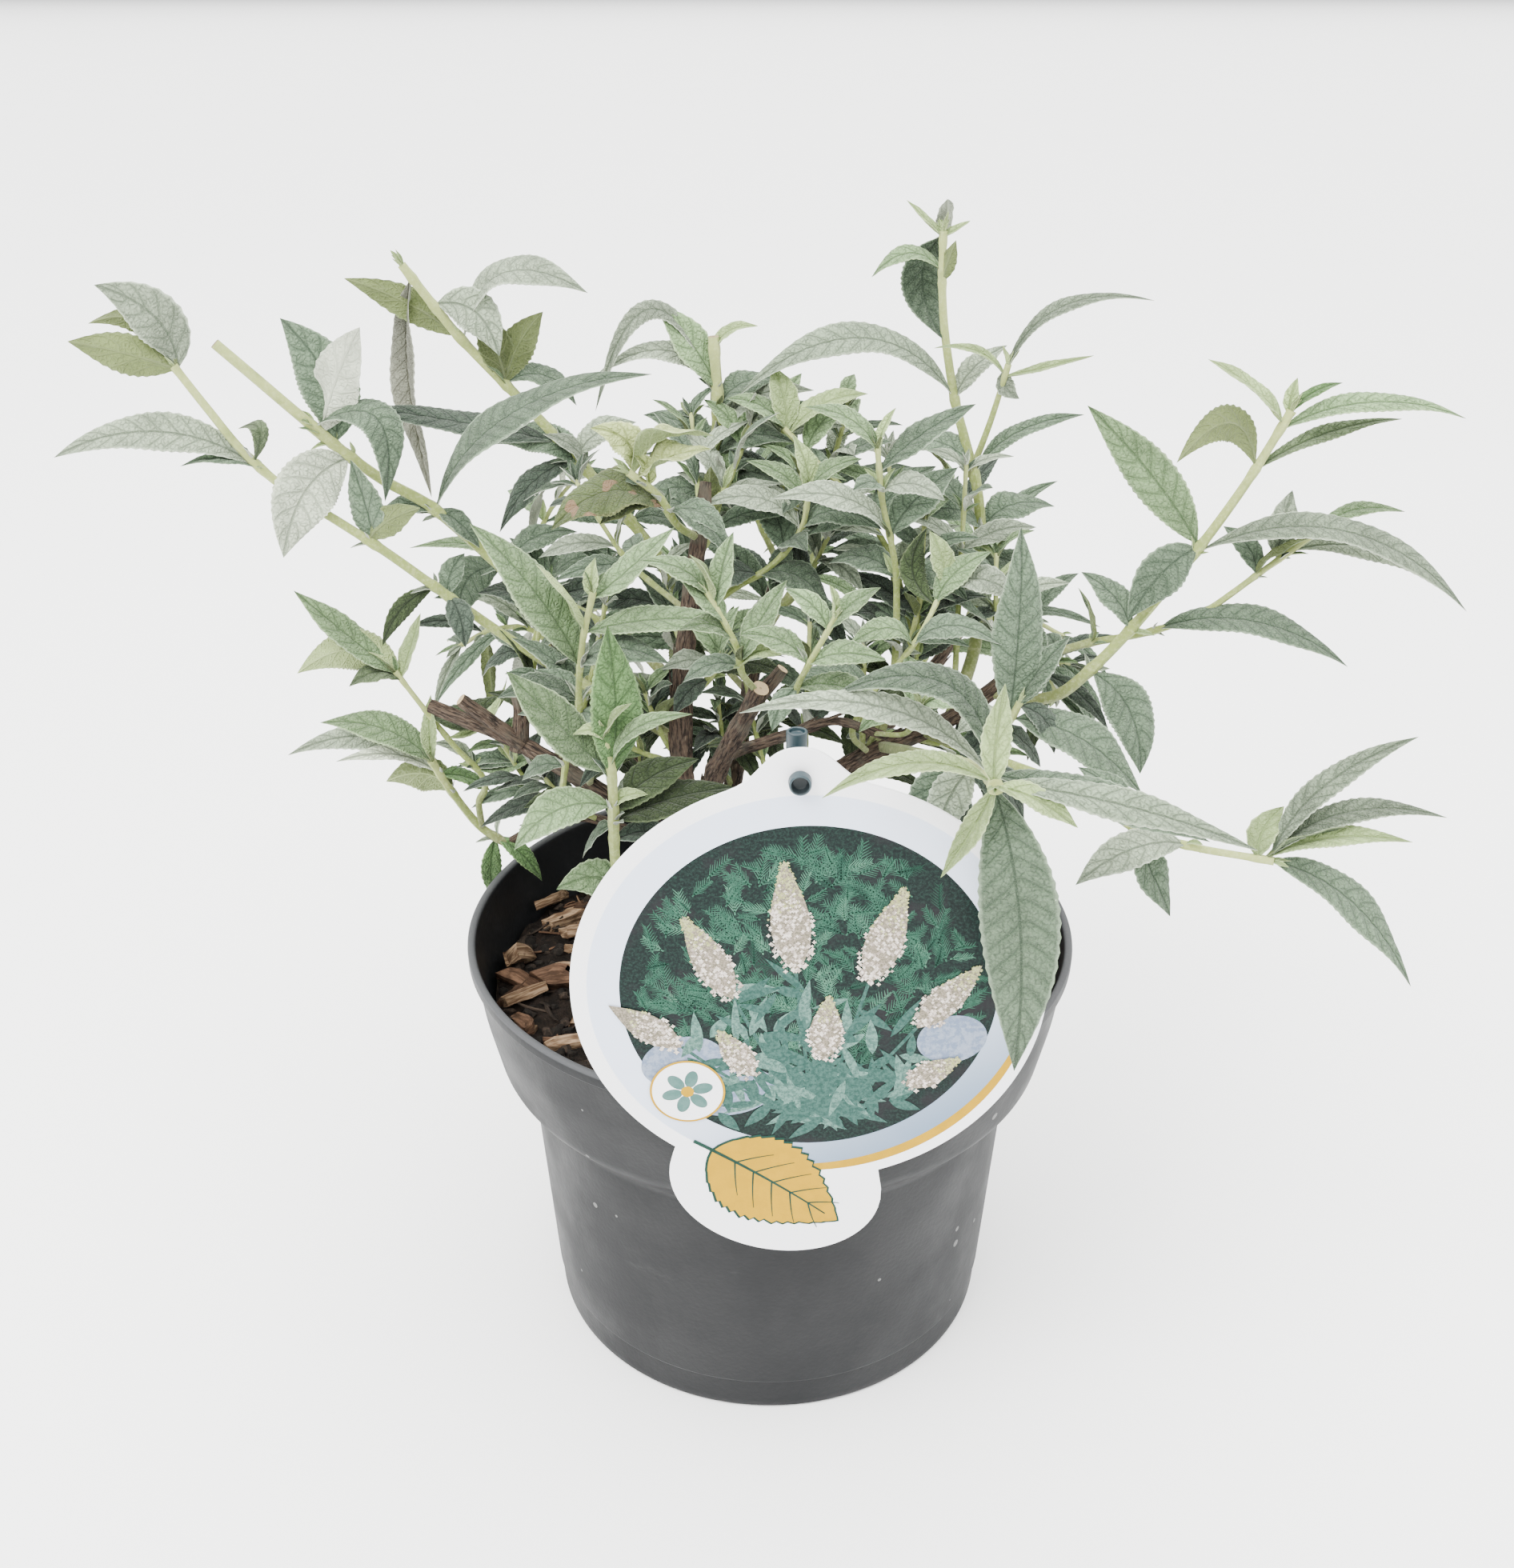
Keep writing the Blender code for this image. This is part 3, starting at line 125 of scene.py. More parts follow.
class Pile:
    """Grids gathered into one mesh. Every face carries its corners' places and its
    finish, and every point a shade, from -1 to 1, and how far along its stem it is."""

    def __init__(self):
        self.points, self.shade, self.grow = [], [], []
        self.faces = {3: ([], [], []), 4: ([], [], [])}
        self.count = 0

    def add(self, points, faces, places, finish=0, shade=0.0, grow=0.0, more=False):
        """Takes a grid in, or with `more`, more faces on the points of the last one."""
        faces = np.asarray(faces)
        corners, where, finishes = self.faces[faces.shape[1]]
        base = self.count - len(points) if more else self.count
        corners.append(faces + base)
        where.append(np.asarray(places, float))
        finishes.append(np.broadcast_to(np.asarray(finish), (len(faces),)))
        if not more:
            self.points.append(np.asarray(points, float))
            self.shade.append(np.broadcast_to(np.asarray(shade, float), (len(points),)))
            self.grow.append(np.broadcast_to(np.asarray(grow, float), (len(points),)))
            self.count += len(points)

    def triangles(self):
        return sum(len(f) * (n - 2) for n, part in self.faces.items() for f in part[0])

    def make(self, name, finishes, slot, nodes=(), sharp=50.0):
        """The finished object; edges turning by more than `sharp` degrees stay hard."""
        mesh = bpy.data.meshes.new(name)
        points = np.concatenate(self.points) * MM
        mesh.vertices.add(len(points))
        mesh.vertices.foreach_set("co", points.astype(np.float32).ravel())
        parts = [(n, *map(np.concatenate, part)) for n, part in self.faces.items() if part[0]]
        loops = np.concatenate([f.ravel() for _, f, _, _ in parts])
        sizes = np.concatenate([np.full(len(f), n) for n, f, _, _ in parts])
        mesh.loops.add(len(loops))
        mesh.loops.foreach_set("vertex_index", loops.astype(np.int32))
        mesh.polygons.add(len(sizes))
        mesh.polygons.foreach_set("loop_start", (np.cumsum(sizes) - sizes).astype(np.int32))
        finish = np.concatenate([m for *_, m in parts])
        mesh.polygons.foreach_set("material_index", finish.astype(np.int32))
        places = np.concatenate([w.reshape(-1, w.shape[-1]) for _, _, w, _ in parts])
        for k, layer in enumerate(("cloth", "veins")):
            if places.shape[1] > 2 * k:
                uv = mesh.uv_layers.new(name=layer)
                pair = np.ascontiguousarray(places[:, 2 * k : 2 * k + 2], np.float32)
                uv.uv.foreach_set("vector", pair.ravel())
        for label, values in (("shade", self.shade), ("grow", self.grow)):
            spot = mesh.attributes.new(label, "FLOAT", "POINT")
            spot.data.foreach_set("value", np.concatenate(values).astype(np.float32))
        mesh.update(calc_edges=True)
        if mesh.validate():
            print("mesh mended:", name)
        mesh.shade_smooth()
        mesh.set_sharp_from_angle(angle=math.radians(sharp))
        for finish in finishes:
            mesh.materials.append(finish)
        made = bpy.data.objects.new(name, mesh)
        scene.collection.objects.link(made)
        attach(made, BODY)
        if nodes:
            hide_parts(*nodes)
        return made


def laid(points, lay):
    """Points moved by a 4 x 4 placement."""
    lay = np.array(lay)
    return points @ lay[:3, :3].T + lay[:3, 3]


def unit(v):
    """v divided by its own length."""
    return v / np.maximum(np.linalg.norm(v, axis=-1, keepdims=True), 1e-9)


def smooth(points, count):
    """`count` points evenly spaced on a Catmull-Rom curve through `points`."""
    p = np.asarray(points, float)
    p = np.vstack([2 * p[0] - p[1], p, 2 * p[-1] - p[-2]])
    a, b, c, d = (p[k : len(p) - 3 + k, None] for k in range(4))
    t = (np.arange(24) / 24)[None, :, None]
    dense = 0.5 * (
        2 * b + (c - a) * t + (2 * a - 5 * b + 4 * c - d) * t**2
        + (3 * b - a - 3 * c + d) * t**3
    )
    dense = np.vstack([dense.reshape(-1, 3), p[-2]])
    run = run_of(dense)
    marks = np.linspace(0, run[-1], count)
    return np.stack([np.interp(marks, run, dense[:, k]) for k in range(3)], 1)


def run_of(path):
    """How far along the path each of its points lies."""
    return np.concatenate([[0], np.cumsum(np.linalg.norm(np.diff(path, axis=0), axis=1))])


def length_of(path):
    """A path's length, the sum of its steps."""
    return float(np.linalg.norm(np.diff(path, axis=0), axis=1).sum())


def along(path, t):
    """Point and direction at the fraction t of an evenly spaced path."""
    f = min(max(t, 0.0), 1.0) * (len(path) - 1)
    i = min(int(f), len(path) - 2)
    return path[i] + (path[i + 1] - path[i]) * (f - i), unit(path[i + 1] - path[i])


def turn(v, axis, degrees):
    """v turned about a unit axis, by Rodrigues' formula, for arrays of either."""
    a = np.radians(np.asarray(degrees, float))[..., None]
    axis = np.broadcast_to(axis, np.broadcast(v, axis).shape)
    dot = (v * axis).sum(-1, keepdims=True)
    return v * np.cos(a) + np.cross(axis, v) * np.sin(a) + axis * dot * (1 - np.cos(a))


def ripple(u, v, around, seed):
    """Smooth noise from 0 to 1: random heights on the whole numbers of a sheet, eased
    between them. u wraps round after `around` cells."""
    table = np.random.default_rng(seed).random((around, 512))
    i, j = np.floor(u).astype(int), np.floor(v).astype(int)
    fu, fv = u - i, v - j
    fu, fv = fu * fu * (3 - 2 * fu), fv * fv * (3 - 2 * fv)

    def at(a, b):
        return table[a % around, b % 512]

    low = at(i, j) * (1 - fu) + at(i + 1, j) * fu
    high = at(i, j + 1) * (1 - fu) + at(i + 1, j + 1) * fu
    return low * (1 - fv) + high * fv


def tube(pile, path, radii, sides, relief=None, ends=0):
    """A round section carried along a path: point = centre + r (cos a A + sin a B),
    with A and B square to the path and r the radius times 1 + relief. Both ends are
    closed by a fan round a centre point."""
    path, rows = np.asarray(path, float), len(path)
    ahead = unit(np.gradient(path, axis=0))
    start = np.cross(ahead[0], [0.3, 1.0, 0.2])
    side = np.empty_like(path)
    for k in range(rows):  # a frame that doesn't spin: the last one flattened on
        start = unit(start - ahead[k] * (start @ ahead[k]))
        side[k] = start
    other = np.cross(side, ahead)
    a = np.linspace(0, 2 * math.pi, sides, endpoint=False)
    radii = np.broadcast_to(np.asarray(radii, float), (rows,))
    r = np.broadcast_to(radii[:, None], (rows, sides))
    if relief is not None:
        r = r * (1 + relief)
    ring = side[:, None] * np.cos(a)[:, None] + other[:, None] * np.sin(a)[:, None]
    points = (path[:, None] + ring * r[..., None]).reshape(-1, 3)
    points = np.vstack([points, path[0], path[-1]])
    faces, places = grid_faces(rows, sides)
    run = run_of(path)
    girth = 2 * math.pi * float(radii.mean()) / sides
    where = np.stack([places[..., 0] * girth, run[places[..., 1]]], -1)
    grow = np.append(np.repeat(np.linspace(0, 1, rows), sides), [0, 1])
    pile.add(points, faces, where, grow=grow)
    pile.add(points, *fans(rows, sides, radii[[0, -1]]), ends, more=True)


def fans(rows, sides, radii):
    """The two end fans of a closed grid whose centre points follow its rows, with each
    corner's place in the flat of its end."""
    j = np.arange(sides)
    k = (j + 1) % sides
    a = 2 * math.pi * j / sides
    flat = np.stack([np.cos(a), np.sin(a)], 1)
    first, last = rows * sides, (rows - 1) * sides
    faces = np.vstack([
        np.stack([np.full(sides, first), j, k], 1),
        np.stack([np.full(sides, first + 1), last + k, last + j], 1),
    ])
    places = np.zeros((2, sides, 3, 2))
    for end, radius in enumerate(radii):
        places[end, :, 1 + end] = flat * radius
        places[end, :, 2 - end] = flat[k] * radius
    return faces, places.reshape(-1, 3, 2)


def turned(pile, profile, sides, finish=0, rise=0.0, ends=0, lay=None):
    """A profile of (radius, height) turned about Z: x = r cos a, y = -r sin a, with
    `rise` added to the heights. It runs from the middle of the underside out, up the
    outer side and back in; its two ends lie on the axis and close with fans."""
    r, z = np.asarray(profile, float).T
    rows = len(r) - 2
    a = np.linspace(0, 2 * math.pi, sides, endpoint=False)
    ring = r[1:-1, None]
    tall = z[1:-1, None] + np.broadcast_to(rise, (rows, sides))
    points = np.stack([ring * np.cos(a), -ring * np.sin(a), tall], -1).reshape(-1, 3)
    points = np.vstack([points, [0, 0, z[0]], [0, 0, z[-1]]])
    if lay is not None:
        points = laid(points, lay)
    faces, places = grid_faces(rows, sides)
    run = np.concatenate([[0], np.cumsum(np.hypot(np.diff(r[1:-1]), np.diff(z[1:-1])))])
    where = np.stack([places[..., 0] * (2 * math.pi * r.max() / sides), run[places[..., 1]]], -1)
    if np.ndim(finish):
        finish = np.repeat(finish, sides)
    pile.add(points, faces, where, finish)
    pile.add(points, *fans(rows, sides, r[[1, -2]]), ends, more=True)

# ---------------------------------------------------------------- finishes


class Finish:
    """A node material in the making, with a short way to write each node."""

    def __init__(self, name, rough, specular=0.3, sheen=0.0, sheen_tint=(1, 1, 1)):
        self.made = bpy.data.materials.new(name)
        self.made.use_nodes = True
        self.tree = self.made.node_tree
        self.surface = self.tree.nodes["Principled BSDF"]
        self.surface.inputs["Roughness"].default_value = rough
        self.surface.inputs["Specular IOR Level"].default_value = specular
        if sheen:
            self.surface.inputs["Sheen Weight"].default_value = sheen
            self.surface.inputs["Sheen Roughness"].default_value = 0.5
            self.surface.inputs["Sheen Tint"].default_value = (*sheen_tint, 1)

    def node(self, kind, **inputs):
        made = self.tree.nodes.new(kind)
        for key, value in inputs.items():
            if key[0].islower():
                setattr(made, key, value)
            else:
                self.put(made.inputs[key.replace("_", " ")], value)
        return made

    def put(self, socket, value):
        if isinstance(value, bpy.types.NodeSocket):
            self.tree.links.new(value, socket)
        elif isinstance(value, (tuple, list)) and len(value) == 3 and socket.type == "RGBA":
            socket.default_value = (*value, 1)
        else:
            socket.default_value = value

    def math(self, operation, a, b=0.0, c=0.0):
        made = self.tree.nodes.new("ShaderNodeMath")
        made.operation = operation
        for socket, value in zip(made.inputs, (a, b, c)):
            self.put(socket, value)
        return made.outputs[0]

    def span(self, value, low, high, out_low=0.0, out_high=1.0):
        """value eased from low..high to out_low..out_high, and held outside."""
        made = self.node("ShaderNodeMapRange", interpolation_type="SMOOTHSTEP")
        for socket, given in zip(made.inputs, (value, low, high, out_low, out_high)):
            self.put(socket, given)
        return made.outputs[0]

    def mix(self, share, a, b):
        made = self.node("ShaderNodeMix", data_type="RGBA")
        for index, value in ((0, share), (6, a), (7, b)):
            self.put(made.inputs[index], value)
        return made.outputs[2]

    def noise(self, scale, detail=2.0, rough=0.5, vector=None, stretch=None):
        place = vector or self.place()
        if stretch:
            place = self.node("ShaderNodeMapping", Vector=place, Scale=stretch).outputs[0]
        return self.node(
            "ShaderNodeTexNoise", Vector=place, Scale=scale, Detail=detail, Roughness=rough
        ).outputs["Fac"]

    def layer(self, name):
        return self.node("ShaderNodeUVMap", uv_map=name).outputs[0]

    def away(self):
        """How far a corner's place on the `cloth` layer is from its zero."""
        made = self.node("ShaderNodeVectorMath", operation="LENGTH")
        self.put(made.inputs[0], self.layer("cloth"))
        return made.outputs["Value"]

    def place(self):
        return self.node("ShaderNodeTexCoord").outputs["Object"]

    def value(self, name):
        return self.node("ShaderNodeAttribute", attribute_name=name).outputs["Fac"]

    def split(self, vector):
        return self.node("ShaderNodeSeparateXYZ", Vector=vector).outputs

    def colour(self, colour):
        self.put(self.surface.inputs["Base Color"], colour)
        return self

    def bump(self, height, distance, strength=1.0):
        made = self.node(
            "ShaderNodeBump", Height=height, Distance=distance, Strength=strength
        )
        self.tree.links.new(made.outputs[0], self.surface.inputs["Normal"])
        return self


def scaled(colour, k):
    """A colour made darker or lighter by the factor k, up to full."""
    return tuple(min(1.0, c * k) for c in colour)


VEIN_RELIEF = 0.0007  # metres


def leaf_face(name, colour, vein, margin, under=False, spots=None):
    """Felted leaf skin. Side veins are the whole numbers of the second place of the
    `veins` layer, the midrib its first place's zero, and a fine net lies between.
    Veins are darker above, partly their own colour and partly painted shade in their
    sunk furrows, and paler beneath, where they stand out. The top also carries a faint
    painted highlight on the pillows between the side veins."""
    f = Finish(name, 0.8, 0.1, 0.08, (1.0, 1.0, 0.96))
    across, step = f.split(f.layer("veins"))[:2]
    wide = f.math("ABSOLUTE", across)
    between = f.math("PINGPONG", step, 0.5)
    side = f.span(between, 0.02, 0.13, 1.0, 0.0)
    side = f.math("MULTIPLY", side, f.span(wide, 0.75, 1.0, 1.0, 0.1))
    cloth = f.layer("cloth")
    mid = f.span(f.math("ABSOLUTE", f.split(cloth)[0]), 0.12, 0.5, 1.0, 0.0)
    net = f.node(
        "ShaderNodeTexVoronoi", feature="DISTANCE_TO_EDGE", voronoi_dimensions="2D",
        Vector=cloth, Scale=0.72, Randomness=1.0,
    ).outputs["Distance"]
    net = f.span(net, 0.0, 0.3, 1.0, 0.0)
    patch = f.span(f.noise(0.55, 2, vector=cloth), 0.35, 0.65, 0.25, 0.72)
    lines = f.math("MAXIMUM", f.math("MULTIPLY", side, 0.8), mid)
    lines = f.math("MAXIMUM", lines, f.math("MULTIPLY", net, patch))
    felt = f.noise(2600, 3, 0.7)
    blotch = f.noise(95, 2)
    shade = f.value("shade")
    tone = f.math("MULTIPLY_ADD", shade, 0.5, 0.5)
    tone = f.math("MULTIPLY_ADD", f.math("SUBTRACT", blotch, 0.5), 1.1, tone)
    base = f.mix(tone, scaled(colour, 0.54), scaled(colour, 1.72))
    # painted highlight on the pillows between the side veins, in the margin's pale colour; none beneath
    base = f.mix(f.span(between, 0.2, 0.45, 0.0, 0.0 if under else 0.09), base, margin)
    # on the top the vein lines darken partly by the veins' own colour and partly as painted shade in their
    # sunk furrows
    base = f.mix(f.math("MULTIPLY", lines, 0.55 if under else 0.82), base, vein)
    base = f.mix(f.span(felt, 0.42, 0.8, 0.0, 0.34), base, margin)
    base = f.mix(f.span(felt, 0.28, 0.45, 0.3, 0.0), base, vein)
    base = f.mix(f.span(wide, 0.86, 1.0, 0.0, 0.75), base, margin)
    if spots:
        where = f.span(f.noise(150, 1), 0.62, 0.66)
        base = f.mix(where, base, spots)
    f.colour(base)
    height = f.math("MULTIPLY", lines, 0.8 if under else -0.8)
    height = f.math("MULTIPLY_ADD", felt, 0.55, height)
    return f.bump(height, VEIN_RELIEF, 0.9).made


WHITE_UNDER = ((0.40, 0.43, 0.34), (0.30, 0.33, 0.25), (0.48, 0.52, 0.42))
OLIVE_UNDER = ((0.096, 0.122, 0.044), (0.15, 0.18, 0.08), (0.17, 0.21, 0.10))
YOUNG_UNDER = ((0.25, 0.32, 0.13), (0.34, 0.41, 0.19), (0.38, 0.44, 0.24))
KINDS = {  # letter: name, top colour, veins, margin, underside, fold, quilt, wave
    "f": ("fresh", (0.118, 0.183, 0.083), (0.037, 0.067, 0.026), (0.367, 0.475, 0.27),
          OLIVE_UNDER, 0.20, 0.8, 0.07),
    "e": ("green", (0.063, 0.12, 0.042), (0.024, 0.051, 0.016), (0.216, 0.324, 0.14),
          OLIVE_UNDER, 0.16, 0.9, 0.07),
    "y": ("young", (0.23, 0.31, 0.125), (0.15, 0.21, 0.075), (0.42, 0.5, 0.27),
          YOUNG_UNDER, 0.34, 0.4, 0.10),
    "g": ("grey", (0.069, 0.102, 0.063), (0.022, 0.036, 0.022), (0.248, 0.324, 0.22),
          WHITE_UNDER, 0.16, 1.2, 0.10),
    "p": ("silver", (0.202, 0.245, 0.17), (0.06, 0.08, 0.052), (0.475, 0.54, 0.41),
          WHITE_UNDER, 0.20, 1.1, 0.10),
    "s": ("soft", (0.128, 0.165, 0.109), (0.04, 0.056, 0.035), (0.389, 0.454, 0.33),
          WHITE_UNDER, 0.18, 1.2, 0.11),
    "d": ("dark", (0.035, 0.05, 0.036), (0.011, 0.016, 0.012), (0.14, 0.178, 0.13),
          WHITE_UNDER, 0.14, 1.4, 0.11),
    # k: its deep green is painted shade, for leaves inside the crown and beside the label
    "k": ("deep", (0.028, 0.042, 0.017), (0.011, 0.018, 0.008), (0.086, 0.113, 0.055),
          OLIVE_UNDER, 0.12, 0.7, 0.05),
    "o": ("olive", (0.079, 0.112, 0.055), (0.03, 0.046, 0.021), (0.216, 0.27, 0.15),
          OLIVE_UNDER, 0.22, 1.0, 0.13),
    "w": ("white", (0.394, 0.44, 0.331), (0.124, 0.152, 0.106), (0.562, 0.605, 0.47),
          WHITE_UNDER, 0.25, 0.8, 0.15),
    "b": ("dried", (0.185, 0.19, 0.145), (0.085, 0.085, 0.062), (0.32, 0.33, 0.26),
          WHITE_UNDER, 0.55, 1.5, 0.17),
    "c": ("curled", (0.32, 0.38, 0.145), (0.15, 0.19, 0.055), (0.5, 0.55, 0.28),
          YOUNG_UNDER, 0.60, 1.6, 0.32),
    "r": ("spotted", (0.066, 0.09, 0.034), (0.034, 0.048, 0.018), (0.13, 0.14, 0.06),
          OLIVE_UNDER, 0.16, 1.0, 0.17),
}


def stem_finish():
    """Green stems: a thin felt over yellow-green, browner at the foot, whiter at the tip, with patches of
    painted shade strewn by noise.
    """
    f = Finish("Green stem", 0.72, 0.25, 0.1)
    grow = f.value("grow")
    base = f.mix(f.span(grow, 0.0, 0.35), (0.125, 0.140, 0.055), (0.190, 0.235, 0.062))
    base = f.mix(f.span(grow, 0.55, 1.0), base, (0.31, 0.35, 0.125))
    fleck = f.noise(900, 3, 0.7)
    base = f.mix(f.span(fleck, 0.42, 0.72, 0, 0.35), base, (0.46, 0.49, 0.26))
    # patches of the stems' shaded colour: painted shade, strewn by noise
    base = f.mix(f.span(f.noise(160, 2), 0.5, 0.8, 0, 0.45), base, (0.11, 0.15, 0.040))
    return f.colour(base).bump(f.math("ADD", fleck, f.noise(300, 2)), 0.0003, 0.5).made


def bark_finish():
    """Stringy brown bark: pale ridges over dark fissures, both stretched along the limb."""
    f = Finish("Bark", 0.9, 0.2)
    cloth = f.layer("cloth")
    strings = f.noise(1.5, 4, 0.65, vector=cloth, stretch=(1, 0.13, 1))
    fine = f.noise(4.0, 3, 0.7, vector=cloth, stretch=(1, 0.08, 1))
    base = f.mix(f.span(strings, 0.38, 0.62), (0.014, 0.010, 0.008), (0.092, 0.064, 0.045))
    base = f.mix(f.span(fine, 0.52, 0.7, 0, 0.75), base, (0.185, 0.142, 0.105))
    base = f.mix(f.span(f.noise(120, 2), 0.5, 0.7, 0, 0.55), base, (0.098, 0.092, 0.070))
    height = f.math("MULTIPLY_ADD", strings, 1.5, fine)
    return f.colour(base).bump(height, 0.0007, 0.9).made


def cut_wood(name, rim, heart):
    """A cut across the grain: a pale face, a darker pith and rim, faint rings."""
    f = Finish(name, 0.85, 0.2)
    away = f.away()
    ring = f.math("SINE", f.math("MULTIPLY", away, 14.0))
    base = f.mix(f.span(ring, -1, 1, 0, 0.35), heart, rim)
    base = f.mix(f.span(away, 0.28, 0.5, 1, 0), base, scaled(rim, 0.45))
    base = f.mix(f.noise(900, 3), base, scaled(heart, 0.75))
    return f.colour(base).bump(f.noise(1200, 3), 0.0004, 0.6).made


def wood_bits(name, pale, dark):
    """Split wood: streaks along the piece's own length, dark in the grooves."""
    f = Finish(name, 0.9, 0.15)
    cloth = f.layer("cloth")
    streak = f.noise(0.8, 4, 0.7, vector=cloth, stretch=(1, 0.1, 1))
    base = f.mix(f.span(streak, 0.4, 0.62), dark, pale)
    base = f.mix(f.span(f.noise(260, 3), 0.5, 0.75, 0, 0.7), base, scaled(dark, 0.5))
    base = f.mix(f.math("MULTIPLY_ADD", f.value("shade"), 0.3, 0.3), base, scaled(dark, 0.6))
    return f.colour(base).bump(streak, 0.0008, 0.8).made


def earth_finish():
    """Dark peat: near-black crumbs with brown fibre and a few pale flecks."""
    f = Finish("Peat", 0.97, 0.12)
    coarse, fine = f.noise(210, 4, 0.7), f.noise(1100, 4, 0.75)
    base = f.mix(f.span(coarse, 0.35, 0.68), (0.005, 0.004, 0.003), (0.022, 0.015, 0.011))
    base = f.mix(f.span(fine, 0.55, 0.8, 0, 0.6), base, (0.055, 0.040, 0.029))
    base = f.mix(f.math("MULTIPLY_ADD", f.value("shade"), 0.3, 0.2), base, (0.012, 0.009, 0.007))
    return f.colour(base).bump(f.math("ADD", coarse, fine), 0.0018, 1.0).made


LIP_HEIGHTS = 0.1357, 0.1364  # metres, between which the lip turns paler


def pot_finish(name, colour, dust):
    """Moulded recycled plastic: a dull mid grey, cloudy and faintly streaked down the
    wall, with dust specks, dark specks and light rubs, paler along the lip."""
    f = Finish(name, 0.5, 0.17)
    place = f.place()
    cloud = f.noise(26, 4, 0.6)
    streak = f.noise(60, 3, 0.6, stretch=(1, 1, 0.08))
    base = f.mix(cloud, scaled(colour, 0.72), scaled(colour, 0.96))
    base = f.mix(f.span(streak, 0.5, 0.8, 0, 0.25), base, scaled(colour, 1.15))
    cells = f.node("ShaderNodeTexVoronoi", Vector=place, Scale=150.0)
    chance = f.split(cells.outputs["Color"])
    fleck = f.math("LESS_THAN", cells.outputs["Distance"], f.math("MULTIPLY", chance[1], 0.2))
    pale = f.math("MULTIPLY", fleck, f.math("GREATER_THAN", chance[0], 0.9))
    base = f.mix(f.math("MULTIPLY", pale, dust), base, (0.34, 0.34, 0.33))
    dark = f.math("MULTIPLY", fleck, f.math("LESS_THAN", chance[0], 0.035))
    base = f.mix(dark, base, (0.009, 0.008, 0.007))
    rubs = f.noise(14, 6, 0.75, stretch=(1.0, 1.0, 2.6))
    base = f.mix(f.span(rubs, 0.6, 0.72, 0, 0.13), base, (0.09, 0.09, 0.09))
    height = f.split(place)[2]
    lip = f.span(height, *LIP_HEIGHTS, 0, 0.6)
    base = f.mix(lip, base, (0.085, 0.087, 0.091))
    rough = f.span(cloud, 0.3, 0.7, 0.42, 0.6)
    f.put(f.surface.inputs["Roughness"], rough)
    return f.colour(base).bump(f.math("ADD", f.noise(700, 3), cloud), 0.00012, 0.6).made


BAND_EDGE = 55.6, 55.9  # between these radii the pale band ends


def card_finish():
    """Coated label card: white, with a band of pale grey-blue round the picture that
    turns darker low on the right. Its layer is the place on the card in millimetres."""
    f = Finish("Label card", 0.35, 0.2)
    x, z = f.split(f.layer("cloth"))[:2]
    away = f.away()
    lean = f.math("MULTIPLY_ADD", x, 0.5, f.math("MULTIPLY", z, -0.9))
    band = f.mix(f.span(lean, 5.0, 62.0), (0.60, 0.66, 0.78), (0.13, 0.19, 0.27))
    inside = f.span(away, *BAND_EDGE, 1, 0)
    base = f.mix(inside, (0.83, 0.83, 0.85), band)
    base = f.mix(f.span(f.noise(30, 3), 0.4, 0.8, 0, 0.08), base, (0.6, 0.6, 0.62))
    return f.colour(base).bump(f.noise(500, 2), 0.00004, 0.4).made


INK_ROUGH = 0.34


def ink(name, colour, other, scale):
    """Print on the card: one tone broken by a finer second one."""
    f = Finish(name, INK_ROUGH, 0.1)
    return f.colour(f.mix(f.span(f.noise(scale, 4, 0.7), 0.38, 0.62), colour, other)).made


def print_ground():
    """The picture's ground: near-black, clouded with dim blue-green and brown."""
    f = Finish("Picture ground", INK_ROUGH, 0.1)
    cloth = f.layer("cloth")
    speck = f.noise(1.3, 5, 0.75, vector=cloth)
    mass = f.noise(0.07, 3, 0.6, vector=cloth)
    base = f.mix(f.span(speck, 0.42, 0.66), (0.003, 0.006, 0.006), (0.010, 0.026, 0.020))
    base = f.mix(f.span(mass, 0.5, 0.66, 0, 0.8), base, (0.011, 0.010, 0.012))
    return f.colour(base).made


def plastic(name, colour, rough=0.38):
    """Smooth moulded plastic, faintly clouded."""
    f = Finish(name, rough, 0.5)
    base = f.mix(f.noise(120, 3), scaled(colour, 0.85), scaled(colour, 1.2))
    return f.colour(base).bump(f.noise(400, 2), 0.0001, 0.4).made

# ---------------------------------------------------------------- pot

RIM_RADIUS = 95.0
POT_HEIGHT = 137.0
WALL = 1.5
COLLAR_FOOT, KINK, FOOT_STEP = (87.6, 98.0), (79.0, 89.0), (73.4, 12.0)
FOOT_RADIUS = 72.4
BASE_THICK = 2.0
DRAIN_HOLES, DRAIN_RADIUS, DRAIN_RING, DRAIN_TURN = 6, 5.0, 56.0, 30
POT_SIDES, DRAIN_SIDES = 240, 28


def rounded(corners):
    """A polyline whose corners (radius, height, bend) are eased: each corner becomes a
    quadratic bend that starts and ends `bend` away from it along its two sides."""
    points = np.array([c[:2] for c in corners], float)
    out = [points[0]]
    for k in range(1, len(points) - 1):
        here, bend = points[k], corners[k][2]
        before, after = points[k - 1] - here, points[k + 1] - here
        a = here + unit(before) * min(bend, np.linalg.norm(before) / 2.1)
        b = here + unit(after) * min(bend, np.linalg.norm(after) / 2.1)
        t = np.linspace(0, 1, 5)[:, None]
        out.extend(a * (1 - t) ** 2 + here * 2 * t * (1 - t) + b * t * t)
    return np.array([*out, points[-1]])


